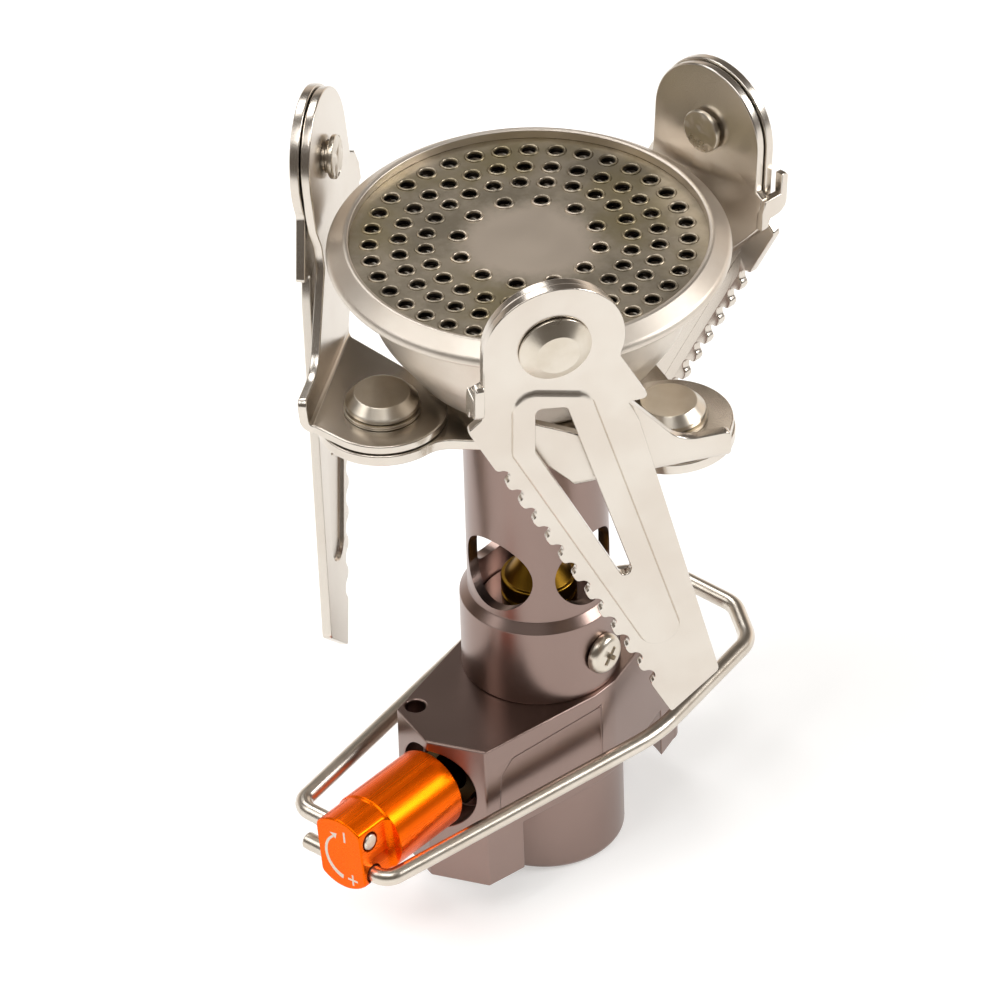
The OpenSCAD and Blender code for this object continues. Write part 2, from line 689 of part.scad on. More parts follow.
// Outline of the wall about the arm's rivet: low wall on the right, swept up to the round top
module upright_outline() {
    base = foot_z - arm_rivet_z - 2 * over;
    right = low_wall_reach + arm_rivet_left;
    low = plate_z + low_wall_h - arm_rivet_z;
    top_r = end_r - 0.3;
    sweep_r = 5;
    sweep = [right - 4.2, low + sweep_r];
    slant = 51;
    foot_of_slant = sweep + sweep_r * [-sin(slant), -cos(slant)];
    polygon(concat([[foot_left + arm_rivet_left, base], [right, base], [right, low - 1]],
        arc([right - 1, low - 1], 1, 0, 90, 4),
        arc(sweep, sweep_r, -90, -90 - slant, 8),
        [[top_r, foot_of_slant[1] + (foot_of_slant[0] - top_r) * tan(slant)]],
        arc([0, 0], top_r, 0, 180, 24),
        [[-top_r, -rest_depth + 0.6], [-end_r - stop_gap - 0.4, -rest_depth],
         [-end_r - stop_gap - 0.4, tab_low], [-end_r + 1.2, tab_low - 2.4]]));
}

// Stop tab bent outwards from the upright's left edge, with a hook at its outer end
module stop_tab() {
    outer = arm_x + sheet_t + tab_reach;
    hook_top_w = -rest_depth + tab_hook_h;
    at_wall() translate([0, -end_r - stop_gap, 0]) rotate([90, 0, 0]) linear_extrude(sheet_t)
        polygon([[-joggle, tab_low], [sheet_t - joggle, tab_low], [sheet_t, tab_low + 1.2], [outer - 1.2, tab_low + 1.4],
            [outer - 0.3, tab_low + 2], [outer, tab_low + 2.8], [outer, hook_top_w - 0.4], [outer - 0.4, hook_top_w],
            [outer - tab_hook_w, hook_top_w], [outer - tab_hook_w, -rest_depth], [0, -rest_depth], [-joggle, joggle_w[0]]]);
}

// Round foot about the swivel rivet, joined to the bend
module foot_plan() {
    hull() {
        translate(pivot) circle(foot_r, $fn = 48);
        translate([bend_centre[0] - over, low_wall_reach - over]) square(over);
        translate([bend_centre[0] - over, foot_left]) square(over);
    }
}

module upright(i) {
    color(steel)
    at_upright(i) difference() {
        union() {
            intersection() {
                translate([0, big / 2, 0]) rotate([90, 0, 0]) linear_extrude(big) upright_section();
                plate_at(-big / 2, big) upright_outline();
            }
            translate([0, 0, foot_z]) linear_extrude(sheet_t) foot_plan();
            stop_tab();
        }
        translate([pivot[0], pivot[1], foot_z - over]) cylinder(d = shank_d + 2 * turn_gap, h = sheet_t + 2 * over);
        plate_at(-over, big) circle(d = shank_d + 2 * seat_gap);
    }
}

// Rivet that an arm turns on, fixed to its upright
module arm_rivet(i) {
    outer = arm_x + sheet_t + slide_gap;
    color(bright_steel)
    at_upright(i) at_wall() rotate([0, 90, 0]) rotate_extrude() polygon([
        [0, -0.7], [peened_d / 2 - 0.3, -0.7], [peened_d / 2, -0.4], [peened_d / 2, -seat_gap],
        [shank_d / 2, -seat_gap], [shank_d / 2, outer], [arm_head_d / 2, outer],
        [arm_head_d / 2, outer + 0.3], [arm_head_d / 2 - 1.6, outer + arm_head_h], [0, outer + arm_head_h]]);
}

// Pot arms

module arm_outline() {
    difference() {
        polygon(concat(arc([0, 0], end_r, hook_turn, 180, 30), [[-end_r, -9.4], shoulder, toe, heel, heel_up,
            hook_root + [0.3, -0.8], hook_root, [hook_tip[0] - 0.4, hook_root[1]],
            [hook_tip[0] + 0.1, hook_root[1] + 0.35], hook_tip]));
        for (i = [0:tooth_count - 1]) translate(shoulder + tooth_dir * (first_notch + i * tooth_pitch))
            circle(d = notch_d, $fn = 24);
    }
}

// Long window with rounded corners: a straight left side and a far end at low
module arm_window(top_left, top_right, side, low, r) {
    hull() {
        translate(top_left) circle(r, $fn = 32);
        translate(top_right) circle(r, $fn = 32);
        translate(top_left - [0, side]) circle(r, $fn = 32);
        translate(low) circle(r, $fn = 32);
    }
}

// Pressed panel's outline, with corners of radius r
module arm_panel(r) {
    arm_window([-2.8, -9.2], [2.5, -10.6], 6.2, [13.6, -49], r);
}

module pot_arm(i) {
    outside_r = 2.6;
    inside_r = outside_r - 0.7;
    color(bright_steel)
    at_upright(i) difference() {
        union() {
            plate_at(arm_x, sheet_t) arm_outline();
            plate_at(arm_x + sheet_t / 2, sheet_t / 2 + arm_panel_rise) arm_panel(outside_r);
        }
        plate_at(arm_x - over, over + arm_panel_rise) arm_panel(inside_r);
        plate_at(arm_x - over, sheet_t + 2 * over) arm_window([-1.7, -10], [0.9, -10.4], 5.8, [9.1, -38.1], 0.8);
        plate_at(arm_x - over, sheet_t + 2 * over) circle(d = shank_d + 2 * turn_gap);
    }
}

valve_body();
canister_seal();
canister_pin();
valve_spindle();
spindle_seal();
gland_nut();
control_knob();
wire_bail();
bail_ends();
gas_jet();
mixing_tube();
tube_screw();
support_plate();
burner_cup();
burner_plate();
for (i = [1:3]) {
    swivel_rivet(i);
    swivel_washer(i);
    upright(i);
    arm_rivet(i);
    pot_arm(i);
}
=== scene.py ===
"""Looks of a folding canister stove: finishes, rounded edges, flame holes and wire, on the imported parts."""

import json
import math

import bmesh
import bpy
from mathutils import Matrix, Vector, noise
from mathutils.geometry import delaunay_2d_cdt


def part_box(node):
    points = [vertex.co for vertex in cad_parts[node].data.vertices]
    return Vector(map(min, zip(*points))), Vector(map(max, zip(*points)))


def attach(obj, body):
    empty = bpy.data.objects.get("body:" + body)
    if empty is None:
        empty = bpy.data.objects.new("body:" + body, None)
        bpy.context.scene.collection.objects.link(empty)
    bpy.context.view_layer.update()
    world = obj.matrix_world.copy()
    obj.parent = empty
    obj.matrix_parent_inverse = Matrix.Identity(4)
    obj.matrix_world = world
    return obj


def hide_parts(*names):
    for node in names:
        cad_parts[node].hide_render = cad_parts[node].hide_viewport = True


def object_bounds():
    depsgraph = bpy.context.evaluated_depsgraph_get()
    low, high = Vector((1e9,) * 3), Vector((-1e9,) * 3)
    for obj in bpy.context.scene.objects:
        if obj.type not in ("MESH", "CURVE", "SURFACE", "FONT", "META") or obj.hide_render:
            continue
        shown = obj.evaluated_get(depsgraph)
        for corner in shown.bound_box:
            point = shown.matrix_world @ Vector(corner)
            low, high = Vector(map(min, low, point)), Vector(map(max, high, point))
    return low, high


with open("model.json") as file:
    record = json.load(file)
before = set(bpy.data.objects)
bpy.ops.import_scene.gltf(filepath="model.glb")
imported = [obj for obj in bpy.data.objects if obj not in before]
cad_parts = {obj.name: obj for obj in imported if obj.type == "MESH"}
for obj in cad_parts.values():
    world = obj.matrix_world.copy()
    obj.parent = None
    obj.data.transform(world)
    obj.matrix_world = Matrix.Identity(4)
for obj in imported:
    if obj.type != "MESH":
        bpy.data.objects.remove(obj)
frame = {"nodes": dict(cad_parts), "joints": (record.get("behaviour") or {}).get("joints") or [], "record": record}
cad_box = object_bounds()
nodes = frame["nodes"]
joints = {joint["name"]: joint for joint in frame["joints"]}
record = frame["record"]
body_of_node = {node: body for body, members in record["behaviour"]["bodies"].items() for node in members}
slot_of_node = {part["node"]: part["material_slot"] for part in record["subparts"]}

MM = 0.001
ARM_NUMBERS = (1, 2, 3)


def heights(node):
    """Heights of a CAD node's lowest and highest points, in mm."""
    return [corner.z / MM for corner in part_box(node)]


def linked(name, data):
    """A new object in the scene."""
    thing = bpy.data.objects.new(name, data)
    bpy.context.scene.collection.objects.link(thing)
    return thing


PLATE_TOP = heights("burner_plate")[1]
KNOB_LOW, KNOB_HIGH = (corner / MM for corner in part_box("control_knob"))
KNOB_AXIS_Z = (KNOB_LOW.z + KNOB_HIGH.z) / 2


# Camera, at the photograph's viewing angle

AZIMUTH, ELEVATION, ROLL = 41.2, 36.703, -1.843
DISTANCE = 1500 * MM
FOCAL_PIXELS, IMAGE_PIXELS = 11980.83, 1000
AIM_HEIGHT, AIM_LEFT = 51.472 * MM, 4.561 * MM
SENSOR_WIDTH, CLIP_FROM, CLIP_TO = 36, 0.05, 20


def make_camera():
    """Adds the camera; returns the way back to it and the way to the right of its picture."""
    a, e, roll = (math.radians(angle) for angle in (AZIMUTH, ELEVATION, ROLL))
    back = Vector((math.cos(e) * math.sin(a), -math.cos(e) * math.cos(a), math.sin(e)))
    right = Vector((math.cos(a), math.sin(a), 0))
    up = back.cross(right)
    x_axis = math.cos(roll) * right + math.sin(roll) * up
    y_axis = math.cos(roll) * up - math.sin(roll) * right
    aim = Vector((0, 0, AIM_HEIGHT)) - AIM_LEFT * right
    camera = linked("camera", bpy.data.cameras.new("camera"))
    camera.data.sensor_width = SENSOR_WIDTH
    camera.data.lens = SENSOR_WIDTH * FOCAL_PIXELS / IMAGE_PIXELS
    camera.data.clip_start, camera.data.clip_end = CLIP_FROM, CLIP_TO
    turn = Matrix((x_axis, y_axis, back)).transposed().to_4x4()
    camera.matrix_world = Matrix.Translation(aim + DISTANCE * back) @ turn
    bpy.context.scene.camera = camera
    return back, right


view_back, view_right = make_camera()
toward = Vector((view_back.x, view_back.y, 0)).normalized()


# Materials

class Value:
    """A shader socket that takes arithmetic: an expression on values adds its Math nodes."""

    def __init__(self, maker, socket):
        self.maker = maker
        self.socket = socket

    def math(self, operation, *others):
        return self.maker.node("ShaderNodeMath", {"operation": operation}, dict(enumerate((self, *others))))

    def __add__(self, other):
        return self.math("ADD", other)

    def __sub__(self, other):
        return self.math("SUBTRACT", other)

    def __rsub__(self, other):
        return (self * -1) + other

    def __mul__(self, other):
        return self.math("MULTIPLY", other)

    def __truediv__(self, other):
        return self.math("DIVIDE", other)

    def __pow__(self, other):
        return self.math("POWER", other)

    __radd__ = __add__
    __rmul__ = __mul__

    def between(self, low, high):
        """0 up to low, 1 from high, and smooth between them."""
        return self.maker.node("ShaderNodeMapRange", {"interpolation_type": "SMOOTHSTEP"},
                               {"Value": self, "From Min": low, "From Max": high})


class NodeMaker:
    """A node tree, and the one method that adds nodes to it."""

    def __init__(self, tree):
        self.tree = tree
        self.tree.nodes.clear()

    def node(self, kind, settings=None, inputs=None, out=0):
        """Adds a node: its settings are set first, then the values or links of its sockets."""
        node = self.tree.nodes.new(kind)
        for key, setting in (settings or {}).items():
            setattr(node, key, setting)
        for key, value in (inputs or {}).items():
            if isinstance(value, Value):
                self.tree.links.new(value.socket, node.inputs[key])
            else:
                node.inputs[key].default_value = value
        return Value(self, node.outputs[out]) if node.outputs else None


class Finish(NodeMaker):
    """One procedural material on a Principled shader."""

    GRAIN_DEPTH = 0.02 * MM

    def __init__(self, name):
        self.material = bpy.data.materials.new(name)
        self.material.use_nodes = True
        super().__init__(self.material.node_tree)
        self.place = self.node("ShaderNodeTexCoord", out="Object")

    def axes(self):
        """The three object coordinates, in metres."""
        parts = self.node("ShaderNodeSeparateXYZ", None, {0: self.place}).socket.node.outputs
        return [Value(self, part) for part in parts]

    def radius_and_height(self):
        """Distance from the stove's axis and height, in metres."""
        x, y, z = self.axes()
        return (x * x + y * y) ** 0.5, z

    def mapped(self, *scales, centre=(0, 0, 0)):
        """Object coordinates about centre, times one scale or one for each axis."""
        moved = self.node("ShaderNodeVectorMath", {"operation": "SUBTRACT"}, {0: self.place, 1: centre})
        scale = scales * 3 if len(scales) == 1 else scales
        return self.node("ShaderNodeVectorMath", {"operation": "MULTIPLY"}, {0: moved, 1: scale})

    def noise(self, vector, detail, rough=0.55):
        return self.node("ShaderNodeTexNoise", None,
                         {"Vector": vector, "Scale": 1, "Detail": detail, "Roughness": rough})

    def mix(self, factor, first, second):
        """A colour between two."""
        return self.node("ShaderNodeMix", {"data_type": "RGBA"}, {0: factor, 6: first, 7: second}, out=2)

    def bump(self, height, strength):
        return self.node("ShaderNodeBump", None,
                         {"Height": height, "Strength": strength, "Distance": self.GRAIN_DEPTH})

    def surface(self, **inputs):
        """Ends the material in a Principled shader; an input's name has _ for each space."""
        named = {key.replace("_", " "): value for key, value in inputs.items()}
        shader = self.node("ShaderNodeBsdfPrincipled", None, named)
        self.node("ShaderNodeOutputMaterial", None, {"Surface": shader})
        return self.material


def rgb(red, green, blue):
    """An sRGB colour of 0 to 255 as a linear shader colour."""
    def linear(level):
        share = level / 255
        return share / 12.92 if share <= 0.04045 else ((share + 0.055) / 1.055) ** 2.4
    return (linear(red), linear(green), linear(blue), 1)


def sheet_steel():
    """Bright pressed sheet, tumbled so that it has a fine even grain."""
    f = Finish("sheet_steel")
    cloud = f.noise(f.mapped(90), detail=4)
    grain = f.noise(f.mapped(1800), detail=2)
    colour = f.mix(cloud.between(0.3, 0.7), rgb(208, 199, 188), rgb(216, 209, 199))
    return f.surface(Base_Color=colour, Metallic=1.0, Roughness=0.19 + cloud * 0.08 + grain * 0.03,
                     Normal=f.bump(grain, 0.04))


RING_SCALE = 3000


def cup_steel():
    """Satin steel with the faint rings that spinning leaves."""
    f = Finish("cup_steel")
    radius, height = f.radius_and_height()
    along = f.node("ShaderNodeCombineXYZ", None, {0: radius * RING_SCALE, 1: height * RING_SCALE})
    rings = f.noise(along, detail=2)
    grain = f.noise(f.mapped(1800), detail=3)
    cloud = f.noise(f.mapped(70), detail=4)
    colour = f.mix(cloud.between(0.3, 0.7), rgb(208, 197, 184), rgb(218, 210, 199))
    return f.surface(Base_Color=colour, Metallic=1.0, Roughness=0.38 + grain * 0.12,
                     Normal=f.bump(rings * 0.35 + grain * 0.65, 0.3))


CLEAN_R, STAINED_R, STAIN_WAVE = 9 * MM, 13.5 * MM, 6 * MM
# Painted shade in the flame holes: full at the first depth below the plate's top, gone at the second
SHADE_FULL_DEPTH, SHADE_START_DEPTH = 0.3, 0.08


def grid_steel():
    """Plain steel plate, stained by heat in soft yellow-brown and grey patches, with painted shade that makes it
    black inside its holes.
    """
    f = Finish("grid_steel")
    radius, height = f.radius_and_height()
    cloud = f.noise(f.mapped(130), detail=6, rough=0.65)
    patch = f.noise(f.mapped(80, centre=(0.3, 0.1, 0)), detail=4)
    grain = f.noise(f.mapped(1500), detail=3)
    stained = f.mix(cloud.between(0.35, 0.7), rgb(184, 173, 155), rgb(142, 133, 117))
    patched = f.mix(patch.between(0.45, 0.7) * 0.7, stained, rgb(148, 136, 102))
    plate = f.mix((radius + cloud * STAIN_WAVE).between(CLEAN_R, STAINED_R), rgb(212, 199, 183), patched)
    # Painted shade: below the plate's top, inside the flame holes, the plate and the flame lips are painted nearly
    # black
    bright = height.between((PLATE_TOP - SHADE_FULL_DEPTH) * MM, (PLATE_TOP - SHADE_START_DEPTH) * MM)
    colour = f.mix(bright, rgb(44, 38, 31), plate)
    return f.surface(Base_Color=colour, Metallic=1.0, Roughness=0.3 + cloud * 0.16 + grain * 0.04,
                     Normal=f.bump(grain, 0.1))


def rivet_steel():
    """Turned and polished steel."""
    f = Finish("rivet_steel")
    cloud = f.noise(f.mapped(220), detail=4)
    grain = f.noise(f.mapped(2400), detail=2)
    colour = f.mix(cloud.between(0.3, 0.7), rgb(202, 192, 176), rgb(214, 206, 193))
    return f.surface(Base_Color=colour, Metallic=1.0, Roughness=0.24 + cloud * 0.1,
                     Normal=f.bump(grain, 0.05))


def wire_steel():
    """Drawn wire with a satin skin."""
    f = Finish("wire_steel")
    cloud = f.noise(f.mapped(150), detail=4)
    grain = f.noise(f.mapped(1800, 500, 1800), detail=3)
    colour = f.mix(cloud.between(0.3, 0.7), rgb(206, 196, 182), rgb(218, 210, 198))
    return f.surface(Base_Color=colour, Metallic=1.0, Roughness=0.24 + grain * 0.12,
                     Normal=f.bump(grain, 0.1))


def gunmetal():
    """Brown-grey anodised aluminium, a little cloudy."""
    f = Finish("gunmetal")
    cloud = f.noise(f.mapped(60), detail=3)
    colour = f.mix(cloud, rgb(134, 114, 107), rgb(150, 130, 122))
    return f.surface(Base_Color=colour, Metallic=1.0, Roughness=0.26 + cloud * 0.05)


PRINT_EDGE, PRINT_DEPTH = 0.03, 0.08
ARROW_CENTRE, ARROW_R, ARROW_MIDDLE, ARROW_HALF = (0.9, -0.2), 3.25, 194.25, 66.25
ARROW_HALF_WIDTH, ARROW_TAPER = 0.23, 0.0013
ARROW_TIP = ((-0.52, 3.03), (-1.63, 2.77), (-0.73, 2.15))
PRINT_STROKES = (((0.67, 3.72), (0.77, 2.16)), ((1.87, -2.46), (1.97, -4.06)), ((1.12, -3.31), (2.72, -3.21)))
STROKE_HALF = 0.14


def knob_print(f):
    """1 where the knob's end carries its turned arrow and its minus and plus signs, else 0."""
    x, y, z = (axis / MM for axis in f.axes())
    z = z - KNOB_AXIS_Z

    def below(distance, limit):
        return 1 - distance.between(limit - PRINT_EDGE, limit + PRINT_EDGE)

    def along(start, end):
        """Distance past the start along a line, and distance to its left."""
        way = (Vector(end) - Vector(start)).normalized()
        dx, dz = x - start[0], z - start[1]
        return dx * way.x + dz * way.y, dz * way.x - dx * way.y

    middle = math.radians(ARROW_MIDDLE)
    ahead, left = along(ARROW_CENTRE, Vector(ARROW_CENTRE) + Vector((math.cos(middle), math.sin(middle))))
    angle = left.math("ARCTAN2", ahead) * math.degrees(1)
    off_arc = ((ahead * ahead + left * left) ** 0.5 - ARROW_R).math("ABSOLUTE")
    width = ARROW_HALF_WIDTH + angle * ARROW_TAPER
    mark = below(off_arc - width, 0) * below(angle.math("ABSOLUTE") - ARROW_HALF, 0)
    sides = [along(a, b)[1] for a, b in zip(ARROW_TIP, ARROW_TIP[1:] + ARROW_TIP[:1])]
    mark = mark.math("MAXIMUM", below(sides[0].math("MINIMUM", sides[1]).math("MINIMUM", sides[2]) * -1, 0))
    for start, end in PRINT_STROKES:
        half = (Vector(end) - Vector(start)).length / 2
        past, aside = along(start, end)
        stroke = below((past - half).math("ABSOLUTE"), half) * below(aside.math("ABSOLUTE"), STROKE_HALF)
        mark = mark.math("MAXIMUM", stroke)
    return mark * below(y, KNOB_LOW.y + PRINT_DEPTH)


def orange_anodised():
    """Bright orange anodised aluminium with fine lengthwise lines; white print on the knob's end."""
    f = Finish("orange_anodised")
    lines = f.noise(f.mapped(1500, 40, 1500), detail=3)
    cloud = f.noise(f.mapped(140), detail=3)
    printed = knob_print(f)
    colour = f.mix(printed, f.mix(cloud, rgb(244, 92, 0), rgb(250, 106, 0)), rgb(228, 216, 202))
    return f.surface(Base_Color=colour, Metallic=0.75 - printed * 0.75,
                     Roughness=0.22 + lines * 0.1 + printed * 0.25, Specular_IOR_Level=0.05,
                     Normal=f.bump(lines, 0.1))


# Where the painted shade in the knob's recess is full, and where it ends, along Y
RECESS_SHADE_Y, RECESS_SHADE_END_Y = -14 * MM, -10 * MM


def brass():
    """Turned brass, dull with use, with painted shade that darkens it round the knob's spindle, in the knob's
    recess.
    """
    f = Finish("brass")
    rings = f.noise(f.mapped(150, 150, 2400), detail=2)
    cloud = f.noise(f.mapped(200), detail=3)
    unshaded_brass = f.mix(cloud, rgb(126, 92, 26), rgb(156, 118, 40))
    # Painted shade: the brass turns dark towards the knob, where it sits in the knob's recess
    colour = f.mix(f.axes()[1].between(RECESS_SHADE_Y, RECESS_SHADE_END_Y), rgb(62, 47, 20), unshaded_brass)
    return f.surface(Base_Color=colour, Metallic=1.0, Roughness=0.24 + cloud * 0.14,
                     Normal=f.bump(rings, 0.15))


def rubber():
    """Matt black seal ring."""
    f = Finish("rubber")
    cloud = f.noise(f.mapped(900), detail=3)
    colour = f.mix(cloud, (0.012, 0.012, 0.012, 1), (0.03, 0.03, 0.03, 1))
    return f.surface(Base_Color=colour, Roughness=0.6 + cloud * 0.2)


FINISHES = {"gunmetal": gunmetal(), "orange": orange_anodised(), "brass": brass(), "rubber": rubber(),
            "wire": wire_steel(), "cup_steel": cup_steel(), "grid_steel": grid_steel(),
            "sheet_steel": sheet_steel(), "rivet_steel": rivet_steel()}


# Shapes, in mm

FILL_ALL, FILL_INSIDE = 0, 1
FILL_TOLERANCE, PATCH_TOLERANCE = 1e-6, 0.002
MERGE_GAP, FLAT_GAP = 0.0005, 0.02
FLAT_NORMAL, WALL_NORMAL, OUTWARD = 0.99, 0.02, 0.9
EDGE_STEPS = 3
TURNED_SIDES = 72
SHEET_SOFT, TURNED_SOFT, KNOB_SOFT, GAUZE_SOFT = 40, 50, 32, 70
LEAST_MITRE = 0.4


def is_inside(point, sides):
    """Whether a line from the point to the right crosses an odd number of sides."""
    inside = False
    for a, b in sides:
        if (a.y > point.y) != (b.y > point.y):
            if point.x < a.x + (b.x - a.x) * (point.y - a.y) / (b.y - a.y):
                inside = not inside
    return inside


class Shell:
    """Points and faces of closed shells."""

    def __init__(self):
        self.points = []
        self.faces = []

    def ring(self, points):
        first = len(self.points)
        self.points += [Vector(point) for point in points]
        return list(range(first, len(self.points)))

    def wall(self, rings, closed=False):
        """Faces from ring to ring; a ring may be a single point."""
        for low, high in zip(rings, rings[1:] + (rings[:1] if closed else [])):
            count = max(len(low), len(high))
            for k in range(count):
                n = (k + 1) % count
                corners = (low[k % len(low)], low[n % len(low)], high[n % len(high)], high[k % len(high)])
                self.faces.append(tuple(dict.fromkeys(corners)))

    def cap(self, rings, upward):
        """A flat face, square to Z, between an outer ring and the rings of its holes."""
        index = [i for ring in rings for i in ring]
        flat = [self.points[i].xy for i in index]
        edges = []
        for ring in rings:
            first = len(edges)
            edges += [(first + k, first + (k + 1) % len(ring)) for k in range(len(ring))]
        filled = delaunay_2d_cdt(flat, edges, [], FILL_INSIDE, FILL_TOLERANCE)
        verts, faces, origins = filled[0], filled[2], filled[3]
        for face in faces:
            middle = sum((verts[vert] for vert in face), Vector((0, 0))) / len(face)
            if is_inside(middle, [(flat[a], flat[b]) for a, b in edges]):
                corners = [index[origins[vert][0]] for vert in face]
                self.faces.append(corners if upward else corners[::-1])

    def turn(self, profile, closed=False, sides=TURNED_SIDES):
        """A profile of radii and heights turned round the Z axis, upwards on its outer side."""
        whole_turn = [2 * math.pi * k / sides for k in range(sides)]
        rings = []
        for r, z in profile:
            angles = whole_turn if r > MERGE_GAP else [0]
            rings.append(self.ring([(r * math.cos(a), r * math.sin(a), z) for a in angles]))
        self.wall(rings, closed)
        return self


def rounded(points, radii, closed=False, steps=4):
    """A line of points with its corners rounded; a radius of 0 leaves the corner as it is."""
    corners = [Vector(point) for point in points]
    last = len(corners) - 1
    line = []
    for k, (corner, radius) in enumerate(zip(corners, radii)):
        if radius == 0 or (not closed and k in (0, last)):
            line.append(corner)
            continue
        back = (corners[k - 1] - corner).normalized()
        ahead = (corners[(k + 1) % len(corners)] - corner).normalized()
        half = back.angle(ahead) / 2
        centre = corner + (back + ahead).normalized() * radius / math.sin(half)
        start = corner + back * radius / math.tan(half) - centre
        end = corner + ahead * radius / math.tan(half) - centre
        line += [centre + start.slerp(end, step / steps).normalized() * radius for step in range(steps + 1)]
    return line


def inset(loop, distance):
    """A closed loop moved to its left, which is its inner side."""
    moved = []
    for before, point, after in zip(loop[-1:] + loop[:-1], loop, loop[1:] + loop[:1]):
        a = (point - before).normalized()
        b = (after - point).normalized()
        left = Vector((-a.y - b.y, a.x + b.x))
        moved.append(point + left * distance / max(1 + a.dot(b), LEAST_MITRE))
    return moved


LEAST_TURN = 32
NEAR_HALF = 0.48
POINT_GAP = 0.02
CURVE_SHARES = (0, 0.2, 0.4, 0.6, 0.8, 1)


def softened(loop, reach):
    """A closed loop whose sharp corners are curves that start and end within a distance of them."""
    runs = [b - a for a, b in zip(loop, loop[1:] + loop[:1])]
    starts = [sum(run.length for run in runs[:k]) for k in range(len(loop) + 1)]
    whole = starts[-1]

    def at(s):
        k = max(k for k in range(len(loop)) if starts[k] <= s % whole)
        return loop[k] + runs[k].normalized() * (s % whole - starts[k])

    sharp = [k for k in range(len(loop)) if math.degrees(runs[k - 1].angle(runs[k])) > LEAST_TURN]
    marks = [starts[k] for k in sharp]
    gaps = [(b - a) % whole for a, b in zip(marks, marks[1:] + marks[:1])]
    line = []
    for j, k in enumerate(sharp):
        span = min(reach, NEAR_HALF * gaps[j - 1], NEAR_HALF * gaps[j])
        next_span = min(reach, NEAR_HALF * gaps[j], NEAR_HALF * gaps[(j + 1) % len(sharp)])
        start, end = at(marks[j] - span), at(marks[j] + span)
        for share in CURVE_SHARES:
            line.append(start.lerp(loop[k], share).lerp(loop[k].lerp(end, share), share))
        for step in range(1, len(loop)):
            ahead = (starts[(k + step) % len(loop)] - marks[j]) % whole
            if ahead >= gaps[j] - next_span - POINT_GAP:
                break
            if ahead > span + POINT_GAP:
                line.append(loop[(k + step) % len(loop)])
    return line


def level(loop, height):
    return [(point.x, point.y, height) for point in loop]


def sheet_edge(shell, loop, low, high, edge):
    """Rounded edge of a sheet along a loop; returns its lowest and highest rings."""
    turns = [math.pi / 2 * k / EDGE_STEPS for k in range(EDGE_STEPS + 1)]
    steps = [(edge * (1 - math.sin(a)), edge * (1 - math.cos(a))) for a in turns]
    lower = [shell.ring(level(inset(loop, d), low + h)) for d, h in steps]
    upper = [shell.ring(level(inset(loop, d), high - h)) for d, h in reversed(steps)]
    shell.wall(lower + upper)
    return lower[0], upper[-1]


PANEL_SLOPE = [(-0.5, 0), (-0.32, 0.08), (0, 0.5), (0.32, 0.92), (0.5, 1)]
SIDE_SLOPE, TOP_SLOPE = 0.36, 1.1
TOP_FROM, TOP_BLEND = 0.45, 0.4


def panel_line(loop, share):
    """A panel's outline moved by a share of its slope's width, which is greater along its upper end."""
    line = []
    for before, after, narrow, wide in zip(loop[-1:] + loop[:-1], loop[1:] + loop[:1],
                                           inset(loop, share * SIDE_SLOPE), inset(loop, share * TOP_SLOPE)):
        leftward = -(after - before).normalized().x
        line.append(narrow.lerp(wide, min(max((leftward - TOP_FROM) / TOP_BLEND, 0), 1)))
    return line


def sheet(loops, low, high, edge, panel=(), rise=0):
    """A sheet with rounded edges; loops are its outline and holes, panel a raised stretch and its holes."""
    shell = Shell()
    bottom, top = zip(*(sheet_edge(shell, loop, low, high, edge) for loop in loops))
    if not panel:
        shell.cap(bottom, upward=False)
        shell.cap(top, upward=True)
        return shell
    holes = [sheet_edge(shell, loop, low + rise, high + rise, edge) for loop in panel[1:]]
    for base, flat, hole_rings, upward in ((low, bottom, [h[0] for h in holes], False),
                                           (high, top, [h[1] for h in holes], True)):
        slope = [shell.ring(level(panel_line(panel[0], d), base + share * rise)) for d, share in PANEL_SLOPE]
        shell.wall(slope if upward else slope[::-1])
        shell.cap([*flat, slope[0]], upward)
        shell.cap([slope[-1], *hole_rings], upward)
    return shell


# Meshes

def bmesh_of(shell, place=None):
    """The shell as a bmesh in metres, in its place."""
    bm = bmesh.new()
    verts = [bm.verts.new(point) for point in shell.points]
    for face in shell.faces:
        bm.faces.new([verts[i] for i in face])
    bm.transform((place or Matrix()) @ Matrix.Scale(MM, 4))
    return bm


def mesh_of(bm, name):
    """A closed mesh of a bmesh, which is freed."""
    bmesh.ops.remove_doubles(bm, verts=bm.verts, dist=MERGE_GAP * MM)
    bmesh.ops.recalc_face_normals(bm, faces=bm.faces)
    mesh = bpy.data.meshes.new(name)
    bm.to_mesh(mesh)
    bm.free()
    return mesh


def draft_of(mesh):
    """An object for a mesh on its way to a piece."""
    return linked(mesh.name + "_draft", mesh)


def evaluated(draft, name):
    """The draft's mesh with its modifiers applied; the draft itself is removed."""
    graph = bpy.context.evaluated_depsgraph_get()
    mesh = bpy.data.meshes.new_from_object(draft.evaluated_get(graph))
    bpy.data.objects.remove(draft)
    mesh.name = name
    return mesh


def shaded(mesh, soft_angle=SHEET_SOFT):
    """The mesh smoothed across its soft edges, with the normals of its large faces kept."""
    mesh.shade_smooth()
    mesh.set_sharp_from_angle(angle=math.radians(soft_angle))
    draft = draft_of(mesh)
    flats = draft.modifiers.new("flats", "WEIGHTED_NORMAL")
    flats.keep_sharp = True
    return evaluated(draft, mesh.name)


